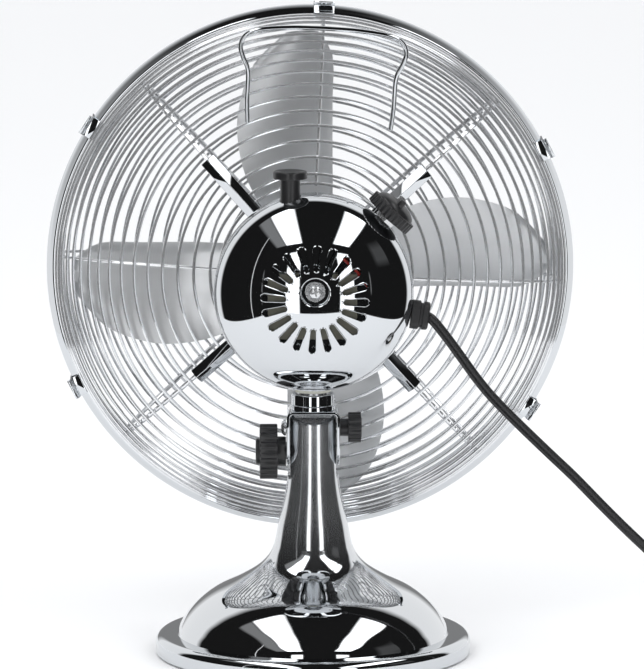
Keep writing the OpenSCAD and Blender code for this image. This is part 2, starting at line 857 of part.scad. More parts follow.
module guard_spider() {
    r = 50.3;
    arm_tilt = atan(0.1064);
    color("#dfe3e7") head_frame() difference() {
        union() {
            rotate_extrude($fn = 96) polygon(concat(
                [[20, -54.3], [r - 10.3, -54.3]], arc(r - 10.3, -44, 10.3, -90, 0, 8),
                [[r + 1.5, -45]], arc(r - 10.3, -45, 11.8, 0, -90, 8), [[20, -56.8]]
            ));
            for (i = [0:3]) rotate([0, 0, 45 + 90 * i]) translate([r + 0.6, 0, -49.8])
                rotate([0, arm_tilt, 0]) rotate([90, 0, 90]) linear_extrude(46.5)
                    polygon([[-5, 0], [5, 0], [5, 0.9], [0, 4], [-5, 0.9]]);
        }
        for (i = [0:3]) rotate([0, 0, 45 + 90 * i]) translate([boss_r, 0, -60]) cylinder(h = 20, d = 4.2);
    }
}

module spider_screws() {
    color("#cfd2d6") head_frame() for (i = [0:3]) rotate([0, 0, 45 + 90 * i])
        translate([boss_r, 0, -56.8]) rotate([180, 0, 0]) screw_at(8, 2.4, 4, 9.5);
}

// Half of the handle's line, from a leg's end to the middle of the grip
handle_half = [
    [44.8, 93.8, -53.1], [45.8, 108, -50], [46.2, 126.5, -46], [49.8, 135.5, -44.8], [51.6, 142.6, -43.8],
    [48.6, 149.4, -43], [40.1, 153.2, -42.5], [22.2, 155.3, -42], [8, 155.8, -42]
];

module carry_handle() {
    count = len(handle_half);
    line = concat(handle_half, [for (i = [count - 1:-1:0]) [-handle_half[i].x, handle_half[i].y, handle_half[i].z]]);
    color("#dfe3e7") head_frame() sweep(smooth(line, 4), 1.5, [0, 0, 1], 10);
}

// A rolled channel with a blunt ridge, closed over both rim wires
module trim_ring() {
    w = trim_w / 2;
    outer = [[trim_r - 5.2, w], [trim_r - 4.2, w], [trim_r - 0.4, 1.2], [trim_r, 0]];
    inner = [[trim_r - 0.9, 0], [trim_r - 1.3, 1], [trim_r - 4.7, w - 0.8], [trim_r - 5.2, w - 0.8]];
    color("#dfe3e7") guard_side(1) rotate_extrude($fn = 128) polygon(concat(
        outer, [for (i = [2:-1:0]) [outer[i].x, -outer[i].y]],
        [for (i = [3:-1:1]) [inner[i].x, -inner[i].y]], inner
    ));
}

module guard_clips() {
    w = trim_w / 2;
    out = trim_r + 0.05;
    color("#dfe3e7") guard_side(1) for (i = [0:5]) rotate([0, 0, 30 + 60 * i])
        rotate([90, 0, 0]) linear_extrude(13, center = true) union() {
            translate([out, -w - 1.1]) square([leaf_t, trim_w + 3.2]);
            translate([161.6, w + 0.1]) square([out + leaf_t - 161.6, leaf_t]);
            translate([161.6, -w - 1.1]) square([out + leaf_t - 161.6, leaf_t]);
            difference() {
                translate([out + 3, w + 2]) circle(r = 3);
                translate([out + 3, w + 2]) circle(r = 2);
                translate([out - 1, w - 4]) square([8, 6]);
                translate([out + 3, w - 4]) square([8, 12]);
            }
        }
}

// ---- cord ----

// Where the cord leaves the bush
cord_exit = [70.5, -26, 215];
// The cord's line from just past the bush down to the table and to the coil
route = [
    [73.6, -26.6, 212.6], [78, -27.4, 207.4], [84, -28.4, 199.6], [91, -29.6, 190], [100, -31, 177.6],
    [110, -32.4, 165.6], [126, -34.4, 149.4], [143.5, -36.4, 132.6], [160, -38, 117], [176, -39.4, 100.6],
    [191, -40.4, 85.6], [207, -41.2, 70.4], [224, -41.6, 54.6], [241, -41.6, 39], [258, -41, 24.6],
    [274, -40, 13.4], [290, -38.8, 6.4], [306, -37, 3.4], [317, -35, 3.1]
];
coil_x = 322;
coil_y = 4;
coil_w = 18.6;
coil_h = 12.4;

module cord_bush() {
    color("#19191b") head_frame() difference() {
        union() {
            difference() {
                rotate([0, 0, -head_turn]) translate([52, -12.5, cover_y]) rotate([0, 0, -8])
                    rotate([0, 90, 0]) rotate([0, 0, 90]) linear_extrude(19) stadium(18, 9.6);
                cover_solid(0);
            }
            difference() {
                bush_way(0);
                rotate([0, 0, -head_turn]) translate([60.8, -40, 0]) cube([60, 80, 60]);
            }
        }
        rotate([0, 0, -head_turn]) translate([0, -12.5, cover_y]) rotate([0, 0, -8]) difference() {
            translate([65, -20, -20]) cube([1, 40, 40]);
            translate([60, 0, 0]) rotate([0, 90, 0]) rotate([0, 0, 90]) linear_extrude(10)
                stadium(16.4, 8);
        }
    }
}

module cord_lead() {
    color("#1b1b1d") sweep(smooth(route, 1), cord_d / 2, [0, 1, 0], 8);
}

module cord_coil() {
    color("#1b1b1d") translate([coil_x, coil_y, 0]) rotate_extrude()
        translate([coil_d / 2 - coil_w / 2, 0]) square([coil_w, coil_h]);
}

// A band over the coil's turns on its far side
module cord_tie() {
    color("#2a2a2c") translate([coil_x + coil_d / 2, coil_y, 0]) difference() {
        translate([-coil_w / 2 - 1, -2.5, 0]) cube([coil_w + 2, 5, coil_h + 1]);
        translate([-coil_w / 2 - 0.1, -4, -1]) cube([coil_w + 0.2, 8, coil_h + 1.1]);
        translate([-coil_d / 2, 0, -1]) ring(coil_d / 2 + coil_w / 2 + 0.1, coil_d / 2 - coil_w / 2 - 0.1, 0, coil_h + 1.1);
    }
}

// The plug lies on the coil, along its turns, with its pins towards the fan
module plug_frame() {
    translate([coil_x, coil_y + coil_d / 2, coil_h + 5.5]) rotate([0, -90, 0]) children();
}

module plug_body() {
    color("#1b1b1d") plug_frame() difference() {
        union() {
            linear_extrude(24) square([11, 18], center = true);
            translate([0, 0, 24]) linear_extrude(4) square([9, 15], center = true);
            translate([0, 0, -9]) cylinder(h = 9.1, d = 8);
        }
        for (y = [-5, 5]) translate([0, y, 16]) cylinder(h = 20, d = 4);
    }
}

module plug_pins() {
    color("#d8c27a") plug_frame() for (y = [-5, 5]) translate([0, y, 16]) {
        cylinder(h = 30, d = 4);
        translate([0, 0, 30]) cylinder(h = 1, d1 = 4, d2 = 2.6);
    }
}

// ---- drawing ----

foot_pad();
base_plate();
base_weight();
base_disc();
pedestal();
base_screws();
column_head();
pivot_bolt();
tilt_bracket();
swivel_post();
collar_screw();
swivel_washer();
tilt_knob();
tilt_stud();
pivot_knob();
rear_cover();
cover_screw();
cover_washer();
front_cover();
motor_frame();
front_bearing_bracket();
shaft_bushes();
stator_core();
stator_coils();
motor_bolts();
gearbox();
motor_leads();
speed_switch();
switch_nut();
speed_knob();
oscillation_knob();
clutch_rod();
worm_wheel();
clutch_spindle();
crank_gear();
link_arm();
motor_shaft();
rotor_core();
worm();
blade_hub();
blade_irons();
fan_blades();
blade_rivets();
hub_cap();
guard_spider();
spider_screws();
rear_guard_rings();
rear_guard_spokes();
carry_handle();
trim_ring();
guard_clips();
front_guard_rings();
front_guard_spokes();
front_medallion();
cord_bush();
cord_lead();
cord_coil();
cord_tie();
plug_body();
plug_pins();
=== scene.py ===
# %% [markdown]
# # A chrome desk fan
# The working model comes in first and stays where it is. It holds every part's place, size and
# joint. This script then gives each part its finish, and models again, smoothly, those parts
# whose shape is seen in mirror chrome, because a mirror shows every facet.

# %% Load the working model
import math

import bpy
import numpy as np
from mathutils import Matrix, Vector


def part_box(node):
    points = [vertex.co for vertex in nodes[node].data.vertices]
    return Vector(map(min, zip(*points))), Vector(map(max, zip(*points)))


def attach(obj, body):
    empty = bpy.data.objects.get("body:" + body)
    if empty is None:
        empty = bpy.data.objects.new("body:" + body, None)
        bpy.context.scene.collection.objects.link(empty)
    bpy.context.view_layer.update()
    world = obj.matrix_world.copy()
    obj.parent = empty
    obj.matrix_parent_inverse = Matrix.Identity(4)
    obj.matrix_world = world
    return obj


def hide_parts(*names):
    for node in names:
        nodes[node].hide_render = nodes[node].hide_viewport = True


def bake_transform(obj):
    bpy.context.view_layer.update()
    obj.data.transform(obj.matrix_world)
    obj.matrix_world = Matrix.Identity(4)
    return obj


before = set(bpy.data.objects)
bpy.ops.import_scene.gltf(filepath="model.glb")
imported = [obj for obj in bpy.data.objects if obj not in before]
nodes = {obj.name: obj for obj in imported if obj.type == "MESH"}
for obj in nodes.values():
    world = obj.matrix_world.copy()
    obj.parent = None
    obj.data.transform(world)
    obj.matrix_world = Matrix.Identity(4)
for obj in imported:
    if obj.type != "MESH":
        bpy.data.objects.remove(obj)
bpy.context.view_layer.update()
MM = 0.001


def middle(node):
    """The middle of a CAD node's box."""
    low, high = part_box(node)
    return (low + high) / 2


axis_h = middle("motor_shaft").z
rim_y = middle("trim_ring").y
cover_low, cover_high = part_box("rear_cover")
cover_r = (cover_high.z - cover_low.z) / 2
head_turn_degrees = -3
print(f"axis at {axis_h:.4f} m, rim plane at {rim_y:.4f} m, cover radius {cover_r:.4f} m")

# %% [markdown]
# ## Camera
# A long lens from far away keeps the guard's circle round, as in a catalogue picture. The
# camera looks at the fan's back from a little above it.

# %% Place the camera
camera_far = 3.8
camera_side = math.radians(-1.2)
camera_up = math.radians(8.78)
aim = Vector((0.0056, 0, 0.2003))
back = Vector((
    math.sin(camera_side) * math.cos(camera_up),
    -math.cos(camera_side) * math.cos(camera_up),
    math.sin(camera_up),
))
bpy.ops.object.camera_add(location=aim + back * camera_far)
camera = bpy.context.object
camera.rotation_euler = (-back).to_track_quat("-Z", "Y").to_euler()
camera.data.sensor_width = 36
camera.data.lens = 330.3
camera.data.clip_end = 50
bpy.context.scene.camera = camera
print("camera at", tuple(round(v, 2) for v in camera.location))

# %% [markdown]
# ## Helpers for modelling
# Most parts of a fan are turned, pressed or bent from wire. A turned part starts as one
# point that is extruded along its outline and then spun. A wire is a curve with a round
# bevel, made into a mesh. Each helper leaves the finished mesh at the origin.


# %% Selecting and finishing
def clear():
    """Nothing selected, so that the next operator acts on its own piece alone."""
    if bpy.context.object and bpy.context.object.mode != "OBJECT":
        bpy.ops.object.mode_set(mode="OBJECT")
    bpy.ops.object.select_all(action="DESELECT")
    bpy.context.tool_settings.mesh_select_mode = (True, False, False)


def choose(piece):
    """One piece selected and active."""
    clear()
    piece.select_set(True)
    bpy.context.view_layer.objects.active = piece


def edit(piece, select="SELECT"):
    """Edit mode on a piece, with everything or nothing selected."""
    choose(piece)
    bpy.ops.object.mode_set(mode="EDIT")
    bpy.ops.mesh.select_all(action=select)


def settle(piece, place=None, sharp=35):
    """Puts a piece in its place with its object at the origin, and smooths it up to an angle."""
    choose(piece)
    if place is not None:
        piece.matrix_world = place @ piece.matrix_world
    bpy.ops.object.transform_apply(location=True, rotation=True, scale=True)
    bpy.ops.object.shade_smooth_by_angle(angle=math.radians(sharp))
    piece.name = piece.name.replace(" ", "_")
    return piece


def outward(piece):
    """Joins doubled points and turns every face outwards."""
    edit(piece)
    bpy.ops.mesh.remove_doubles(threshold=1e-6)
    bpy.ops.mesh.normals_make_consistent(inside=False)
    bpy.ops.object.mode_set(mode="OBJECT")
    return piece


def change(piece, kind, **settings):
    """Adds a modifier, sets it and applies it."""
    choose(piece)
    modifier = piece.modifiers.new(kind.title(), kind)
    for name, value in settings.items():
        setattr(modifier, name, value)
    bpy.ops.object.modifier_apply(modifier=modifier.name)
    return piece


def join(name, pieces):
    """Pieces made into one under a name."""
    choose(pieces[0])
    for piece in pieces[1:]:
        piece.select_set(True)
    if len(pieces) > 1:
        bpy.ops.object.join()
    bpy.context.object.name = name
    return bpy.context.object


def cut(piece, *tools):
    """Takes the tools' solids out of a piece."""
    for tool in tools:
        change(piece, "BOOLEAN", operation="DIFFERENCE", solver="EXACT", object=tool)
        bpy.data.objects.remove(tool)
    return piece


# %% Turned parts
def lathe(name, outline, steps=128, place=None, sharp=35):
    """Spins (radius, height) points about the Z axis."""
    clear()
    bpy.ops.mesh.primitive_plane_add(size=MM, location=(0, 0, 0))
    piece = bpy.context.object
    piece.name = name
    bpy.ops.object.mode_set(mode="EDIT")
    bpy.ops.mesh.select_all(action="SELECT")
    bpy.ops.mesh.merge(type="CENTER")
    bpy.ops.transform.translate(value=(outline[0][0], 0, outline[0][1]))
    for (r0, z0), (r1, z1) in zip(outline, outline[1:]):
        bpy.ops.mesh.extrude_region_move(TRANSFORM_OT_translate={"value": (r1 - r0, 0, z1 - z0)})
    bpy.ops.mesh.select_all(action="SELECT")
    bpy.ops.mesh.spin(steps=steps, angle=2 * math.pi, center=(0, 0, 0), axis=(0, 0, 1))
    outward(piece)
    return settle(piece, place, sharp)


def arc(cx, cz, r, start, end, n=8, stretch=1.0):
    """Points of an arc in an outline, by angles in degrees; stretch is the height's share of r."""
    turn = [math.radians(start + (end - start) * i / n) for i in range(n + 1)]
    return [(cx + r * math.cos(t), cz + r * stretch * math.sin(t)) for t in turn]


def spline(points, n=6):
    """A smooth line through points, with n steps between neighbours."""
    p = np.array(points, float)
    ends = np.vstack([p[:1], p, p[-1:]])
    line = []
    for a, b, c, d in zip(ends, ends[1:], ends[2:], ends[3:]):
        for t in np.arange(n) / n:
            cubic = (3 * b - a - 3 * c + d) * t**3 + (2 * a - 5 * b + 4 * c - d) * t**2
            line.append(0.5 * (cubic + (c - a) * t + 2 * b))
    return np.array(line + [p[-1]])


# %% Wire parts
def polyline(name, points, closed=False):
    """A curve of straight steps through points."""
    clear()
    bpy.ops.curve.primitive_bezier_curve_add(location=(0, 0, 0))
    piece = bpy.context.object
    piece.name = name
    curve = piece.data
    curve.splines.clear()
    line = curve.splines.new("POLY")
    line.points.add(len(points) - 1)
    line.points.foreach_set("co", np.c_[np.array(points), np.ones(len(points))].ravel())
    line.use_cyclic_u = closed
    curve.dimensions = "3D"
    return piece


def wire(name, points, radius, closed=False, sides=3, place=None):
    """A round wire along points, as a mesh."""
    piece = polyline(name, points, closed)
    curve = piece.data
    curve.bevel_depth = radius
    curve.bevel_resolution = sides
    curve.use_fill_caps = not closed
    choose(piece)
    bpy.ops.object.convert(target="MESH")
    piece = bpy.context.object
    outward(piece)
    return settle(piece, place, 50)


def hoop(name, radius, wire_radius, height, steps=160, sides=10):
    """A ring of wire: a circle spun about the Z axis."""
    clear()
    bpy.ops.mesh.primitive_circle_add(
        vertices=sides, radius=wire_radius, location=(radius, 0, height), rotation=(math.pi / 2, 0, 0)
    )
    piece = bpy.context.object
    piece.name = name
    bpy.ops.object.transform_apply(location=True, rotation=True, scale=True)
    edit(piece)
    bpy.ops.mesh.spin(steps=steps, angle=2 * math.pi, center=(0, 0, 0), axis=(0, 0, 1))
    outward(piece)
    return settle(piece)


def rod(radius, height, place, vertices=48):
    """A plain cylinder from the origin up, used as a cutting tool or a pin."""
    clear()
    bpy.ops.mesh.primitive_cylinder_add(
        vertices=vertices, radius=radius, depth=height, location=(0, 0, height / 2)
    )
    return settle(bpy.context.object, place)


def block(size, centre, place=None):
    """A plain box, used as a cutting tool or as a start."""
    clear()
    bpy.ops.mesh.primitive_cube_add(size=1, location=centre)
    piece = bpy.context.object
    piece.scale = size
    choose(piece)
    bpy.ops.object.transform_apply(location=True, rotation=True, scale=True)
    return settle(piece, place)


def turned(degrees):
    """A turn about the Z axis."""
    return Matrix.Rotation(math.radians(degrees), 4, "Z")


def moved(x, y, z):
    """A shift, in metres."""
    return Matrix.Translation((x, y, z))


# The fan's own frame: x to the right, y up and z to the back. The head sits in it a little
# turned about the shaft, and what hangs upright on the head is turned back.
FAN = moved(0, 0, axis_h) @ Matrix.Rotation(math.pi / 2, 4, "X")
HEAD = FAN @ turned(head_turn_degrees)
upright = turned(-head_turn_degrees)


# %% [markdown]
# ## Cord
# The flat twin cord leaves the bush on the head's right side, hangs down to the table and
# ends in a storage coil with its plug on top. Its section is a flat eight, so it is a
# mesh tube swept along the route. The coil's turns are made by a loop.

# %% Lay the cord
cord_d = 6.2 * MM
cord_thick = 3.6 * MM
coil_mid = middle("cord_coil")
route_mm = [
    (64, -25, 217.6), (70.5, -26, 215), (73.6, -26.6, 212.6), (78, -27.4, 207.4), (84, -28.4, 199.6),
    (91, -29.6, 190), (100, -31, 177.6), (110, -32.4, 165.6), (126, -34.4, 149.4),
    (143.5, -36.4, 132.6), (160, -38, 117), (176, -39.4, 100.6), (191, -40.4, 85.6),
    (207, -41.2, 70.4), (224, -41.6, 54.6), (241, -41.6, 39), (258, -41, 24.6), (274, -40, 13.4),
    (290, -38.8, 6.4), (306, -37, 3.4), (317, -35, 3.1),
]


def coil_line():
    """The coil's turns: three rings wide below, then two above, then the run up to the plug."""
    rings = [(40.9, 3.1), (35, 3.1), (29.1, 3.1), (32.0, 8.8), (38.0, 8.8)]
    turn_points = 24
    start = -96
    line = []
    for k in range(len(rings) * turn_points + 1):
        ring_at = k / turn_points
        i = min(int(ring_at), len(rings) - 1)
        j = min(i + 1, len(rings) - 1)
        step = max(0.0, (ring_at - i - 0.7) / 0.3)
        blend = step * step * (3 - 2 * step)
        r = rings[i][0] * (1 - blend) + rings[j][0] * blend
        z = rings[i][1] * (1 - blend) + rings[j][1] * blend
        a = math.radians(start + 360 * ring_at)
        line.append((coil_mid.x / MM + r * math.cos(a), coil_mid.y / MM + r * math.sin(a), z))
    return line


tail_mm = [(352, 18, 12.5), (344, 31, 16.5), (334, 37.6, 18.3), (327, 39, 18.5)]
route = spline(np.array(route_mm), 4) * MM
coil = np.array(coil_line()) * MM
cord_path = np.vstack([route, coil[1:-4], np.array(tail_mm) * MM])


# %% Sweep the flat twin section along the route
def twin_section():
    """A closed curve shaped like a flat eight, wide along x."""
    r = cord_thick / 2
    side = cord_d / 2 - r
    dip = math.degrees(math.acos(-side / r)) - 8
    right = [(side + r * math.cos(t), r * math.sin(t)) for t in np.radians(np.linspace(-dip, dip, 12))]
    left = [(-x, -y) for x, y in right]
    clear()
    bpy.ops.curve.primitive_bezier_circle_add(location=(0, 0, 0))
    piece = bpy.context.object
    piece.name = "Cord section"
    piece.data.splines.clear()
    line = piece.data.splines.new("POLY")
    points = np.array(right + left)
    line.points.add(len(points) - 1)
    line.points.foreach_set("co", np.c_[points, np.zeros(len(points)), np.ones(len(points))].ravel())
    line.use_cyclic_u = True
    return piece


def twin_cord(name, points, quarter_until):
    """The flat cord: turned a quarter in its hanging run, and flat on the table after it."""
    section = twin_section()
    piece = polyline(name, points)
    curve = piece.data
    along = np.clip((np.arange(len(points)) - quarter_until) / 16, 0, 1)
    tilt = math.pi / 2 * (1 - along * along * (3 - 2 * along))
    curve.splines[0].points.foreach_set("tilt", tilt)
    curve.twist_mode = "Z_UP"
    curve.bevel_mode = "OBJECT"
    curve.bevel_object = section
    curve.use_fill_caps = True
    choose(piece)
    bpy.ops.object.convert(target="MESH")
    bpy.data.objects.remove(section)
    outward(piece)
    return settle(piece, sharp=40)


cord = twin_cord("Cord", cord_path, 48)
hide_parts("cord_lead", "cord_coil")
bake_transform(cord)
print("cord", len(cord.data.polygons), "faces")

# %% [markdown]
# ## Plates and knobs from an outline
# A pressed plate, a ribbed knob and a slot all start as a flat outline. The outline is drawn
# by extruding a point, filled, and extruded up. A bevel rounds the edges that a press or a
# mould would leave round.


# %% Extrude an outline
def prism(name, points, low, high, place=None, soften=0, segments=3, sharp=35):
    """A flat outline filled and extruded from low to high along Z."""
    clear()
    bpy.ops.mesh.primitive_plane_add(size=MM, location=(0, 0, 0))
    piece = bpy.context.object
    piece.name = name
    bpy.ops.object.mode_set(mode="EDIT")
    bpy.ops.mesh.select_all(action="SELECT")
    bpy.ops.mesh.merge(type="CENTER")
    bpy.ops.transform.translate(value=(points[0][0], points[0][1], low))
    for (x0, y0), (x1, y1) in zip(points, points[1:]):
        bpy.ops.mesh.extrude_region_move(TRANSFORM_OT_translate={"value": (x1 - x0, y1 - y0, 0)})
    bpy.ops.mesh.select_all(action="SELECT")
    bpy.ops.mesh.edge_face_add()
    bpy.ops.mesh.extrude_region_move(TRANSFORM_OT_translate={"value": (0, 0, high - low)})
    outward(piece)
    if soften:
        change(piece, "BEVEL", width=soften, segments=segments, limit_method="ANGLE",
               angle_limit=math.radians(40), harden_normals=False)
    return settle(piece, place, sharp)


def fluted_outline(radius, flutes, flute_r, steps=7):
    """A circle with round flutes cut into it."""
    centre = radius + flute_r * 0.4
    reach = math.acos((centre**2 + radius**2 - flute_r**2) / (2 * centre * radius))
    open_to = math.atan2(radius * math.sin(reach), centre - radius * math.cos(reach))
    points = []
    for k in range(flutes):
        at = 2 * math.pi * (k + 0.5) / flutes
        for t in np.linspace(-open_to, open_to, steps):
            x = centre - flute_r * math.cos(t)
            y = flute_r * math.sin(t)
            points.append((x * math.cos(at) - y * math.sin(at), x * math.sin(at) + y * math.cos(at)))
        rest = 2 * math.pi / flutes - 2 * reach
        for s in (1 / 3, 2 / 3):
            a = at + reach + rest * s
            points.append((radius * math.cos(a), radius * math.sin(a)))
    return points


def stadium_outline(length, width, steps=12):
    """A long shape with round ends."""
    r = width / 2
    half = length / 2 - r
    ends = [(half, -90), (-half, 90)]
    return [
        (x + r * math.cos(math.radians(a)), r * math.sin(math.radians(a)))
        for x, start in ends
        for a in np.linspace(start, start + 180, steps)
    ]


def copies(piece, places):
    """Copies of a piece at several places, each with its own mesh, joined to one."""
    made = []
    for place in places:
        choose(piece)
        bpy.ops.object.duplicate()
        made.append(settle(bpy.context.object, place))
    bpy.data.objects.remove(piece)
    return join(made[0].name.split(".")[0], made)


def mm(points):
    """Millimetre points in metres."""
    return [(x * MM, y * MM) for x, y in points]


# %% [markdown]
# ## Base and column
# The bell is spun from sheet: a low dome that flares up into a slim column. Its outline is
# smooth, because the eye reads every step in a mirror. The column's top is milled flat on
# both sides for the tilt bracket.

# %% Turn the base disc and the bell
base_r = (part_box("base_disc")[1].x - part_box("base_disc")[0].x) / 2 / MM
disc_line = (
    [(base_r - 2, 1), (base_r - 0.5, 1), (base_r, 1.6)]
    + arc(base_r - 5, 8, 5, 0, 90, 16)
    + [(84, 13), (76, 13), (76, 11), (base_r - 5, 11)]
    + arc(base_r - 5, 8, 3, 90, 0, 8)
)
disc = lathe("Base disc", mm(disc_line + disc_line[:1]), 224)
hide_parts("base_disc")
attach(disc, "base")

bell_points = [
    (84.7, 13), (82.4, 18.6), (77.4, 26.4), (70, 34), (60.3, 40.8), (46, 47.8), (34.6, 54.8),
    (27.8, 61.8), (24.3, 68.9),
]
column_points = [(23.2, 73.5), (21.6, 82.4), (18.6, 95), (16.1, 110), (15, 130), (14.6, 150.5)]
bell_line = [tuple(p) for p in spline(bell_points, 7)] + [tuple(p) for p in spline(column_points, 6)]
hollow = [(12.4, 150.5), (12.4, 104)] + [(r - 2, z - 1.2) for r, z in bell_line[::-1] if 15 < z < 96]
bell_outline = bell_line + hollow + [(82.7, 13)]
bell = lathe("Bell and column", mm(bell_outline + bell_outline[:1]), 224)
for side in (-1, 1):
    flat = block((0.04, 0.06, 0.08), (side * 0.0342, 0, 0.153))
    slope = block((0.06, 0.06, 0.03), (0, 0, 0.0236))
    settle(slope, moved(0, 0, 0.142) @ Matrix.Rotation(math.radians(side * 20), 4, "X"))
    cut(bell, flat, slope)
change(bell, "BEVEL", width=0.0004, segments=2, limit_method="ANGLE", angle_limit=math.radians(50))
settle(bell)
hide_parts("pedestal")
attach(bell, "base")
print("bell", len(bell.data.polygons), "faces")

# %% [markdown]
# ## Tilt bracket and collar
# A strap bent to a U stands over the column and turns on the pivot bolt. The left arm has an
# arc slot for the lock's stud. A plain collar on top carries the head.

# %% Bend the bracket
half_w = 16.5
half_depth = 12.5
top_z = 153.7
low_z = 118.0
pivot_z = 142
slot_r = 15
slot_half = 2.9
outer_u = [(half_w, low_z)] + arc(half_w - 4, top_z - 4, 4, 0, 90, 8)
outer_u += arc(-half_w + 4, top_z - 4, 4, 90, 180, 8) + [(-half_w, low_z), (-half_w + 2, low_z)]
inner_u = arc(-half_w + 4, top_z - 4, 2, 180, 90, 6) + arc(half_w - 4, top_z - 4, 2, 90, 0, 6)
u_line = mm(outer_u + inner_u + [(half_w - 2, low_z)])
strap = prism("Tilt bracket", u_line, -half_depth * MM, half_depth * MM)
settle(strap, Matrix.Rotation(math.pi / 2, 4, "X"))
side_line = [(half_depth, 131), (half_depth, 160), (-half_depth, 160), (-half_depth, 131)]
side_line += arc(0, 131, half_depth, 180, 360, 24)[1:-1]
side_cut = prism("Side", mm(side_line), -0.03, 0.03)
settle(side_cut, Matrix.Rotation(math.pi / 2, 4, "Z") @ Matrix.Rotation(math.pi / 2, 4, "X"))
change(strap, "BOOLEAN", operation="INTERSECT", solver="EXACT", object=side_cut)
bpy.data.objects.remove(side_cut)
slot_end, slot_start = arc(0, 0, slot_r, -66, -114, 1)
slot_line = arc(0, 0, slot_r + slot_half, -114, -66, 12) + arc(*slot_end, slot_half, -66, 114, 8)[1:-1]
slot_line += arc(0, 0, slot_r - slot_half, -66, -114, 12) + arc(*slot_start, slot_half, 66, 246, 8)[1:-1]
slot_place = moved(-0.0205, 0, pivot_z * MM) @ turned(90) @ Matrix.Rotation(math.pi / 2, 4, "X")
cut(strap, prism("Slot", mm(slot_line), 0, 0.008, slot_place))
change(strap, "BEVEL", width=0.0005, segments=3, limit_method="ANGLE", angle_limit=math.radians(40))
settle(strap)
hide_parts("tilt_bracket")
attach(strap, "yoke")

post = [(4, 151.7), (4, 153.7), (13.7, 153.7), (14, 154), (14, 156.4), (13.8, 156.7), (13.4, 157)]
post += [(13.4, 162.7)] + arc(12.5, 162.8, 0.9, 0, 90, 5) + [(6, 163.7), (6, 184.7), (5.2, 185.7)]
collar = lathe("Collar", mm([(0, 151.7)] + post + [(0, 185.7)]), 128)
cut(collar, rod(0.0015, 0.01, moved(0.008, 0, 0.1597) @ Matrix.Rotation(math.pi / 2, 4, "Y"), 24))
settle(collar)
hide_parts("swivel_post")
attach(collar, "yoke")
print("bracket", len(strap.data.polygons), "faces, collar", len(collar.data.polygons))

# %% [markdown]
# ## Rear cover
# The back of the motor hides under a deep pressed bulb. Its outline is two ellipses that meet
# at the widest part. Small faces keep the mirror true round the cut slots, and the weighted
# normals modifier leans the shading on the larger ones.

# %% Spin the bulb and cut its openings
bulb_r = 61.5
bulb_z = 25
back_deep = 38
front_deep = 51.5
outer = arc(0, bulb_z, bulb_r, 90, 0, 60, back_deep / bulb_r)
outer += arc(0, bulb_z, bulb_r, -1, -35.6, 22, front_deep / bulb_r)
inner_r = bulb_r - 1.5
inner = arc(0, bulb_z, inner_r, -35.6, 0, 12, (front_deep - 1.5) / inner_r)
inner += arc(0, bulb_z, inner_r, 3, 90, 26, (back_deep - 1.5) / inner_r)
bulb = lathe("Rear cover", mm(outer), 320)
lining = lathe("Cover lining", mm(inner), 160)
rim = lathe("Cover lip", mm([outer[-1], (inner[0][0], outer[-1][1]), inner[0]]), 320)
bulb = outward(join("Rear cover", [bulb, lining, rim]))

vent_count = 20
vent_r = (1.95, 2.55)
vent_x = (17.3 + vent_r[0], 33.3 - vent_r[1])
vent_line = arc(vent_x[0], 0, vent_r[0], 90, 270, 10) + arc(vent_x[1], 0, vent_r[1], -90, 90, 12)
vent_turns = [turned(360 / vent_count * i) for i in range(vent_count)]
vent = prism("Vent", mm(vent_line), 0.045, 0.075)
vents = copies(vent, vent_turns)
recess = lathe("Recess", mm([(0, 50), (8.4, 50), (8.4, 61.3)] + arc(9.7, 61.3, 1.3, 180, 95, 6)
                            + [(9.9, 66), (0, 66)]), 64)
recess_lean = Matrix.Rotation(math.radians(-2.9), 4, "X")
settle(recess, moved(0, 0.005, 0.063) @ recess_lean @ moved(0, 0, -0.063))
neck_place = upright @ moved(0, -0.025, 0) @ Matrix.Rotation(math.pi / 2, 4, "X")
neck = rod(0.013, 0.06, neck_place)
speed_place = turned(49) @ moved(0, 0, 0.025) @ Matrix.Rotation(math.pi / 2, 4, "Y")
speed_hole = rod(0.0047, 0.08, speed_place)
pull_place = upright @ moved(-0.0145, 0.03, 0.03) @ Matrix.Rotation(-math.pi / 2, 4, "X")
pull_hole = rod(0.0065, 0.05, pull_place)
bush_turn = upright @ moved(0.052, -0.0125, 0.025) @ turned(-8)
bush_place = bush_turn @ Matrix.Rotation(math.pi / 2, 4, "Y") @ turned(90)
bush_hole = prism("Bush hole", mm(stadium_outline(14, 7)), -0.01, 0.03, bush_place)
cut(bulb, vents, recess, neck, speed_hole, pull_hole, bush_hole)
change(bulb, "WEIGHTED_NORMAL", mode="FACE_AREA", weight=90, keep_sharp=True)
cup_line = [(2.2, 58), (8.25, 58), (8.35, 58.2), (8.35, 61.5), (9.2, 61.5), (9.2, 57), (2.2, 57)]
cup = lathe("Cup", mm(cup_line + cup_line[:1]), 64, moved(0, 0.005, 0))


def bulb_height(x, y):
    """Height of the bulb's back over its frame's zero, in millimetres."""
    return bulb_z + back_deep * math.sqrt(1 - (x * x + y * y) / bulb_r**2)


lip_line = vent_line[:11]
lip_line += [(vent_x[0] + 2.3 * i, -vent_r[0] - 0.12 * i) for i in range(1, 5)] + vent_line[11:]
lip_line += [(vent_x[1] - 2.3 * i, vent_r[1] - 0.12 * i) for i in range(1, 5)]
lip_points = [(x * MM, y * MM, (bulb_height(x, y) - 0.12) * MM) for x, y in lip_line]
vent_lip = wire("Vent lip", lip_points, 0.00036, closed=True, sides=2)
vent_lips = copies(vent_lip, vent_turns)
bulb = join("Rear cover", [bulb, cup, vent_lips])
settle(bulb, HEAD)
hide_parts("rear_cover")
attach(bulb, "head")
print("rear cover", len(bulb.data.polygons), "faces")

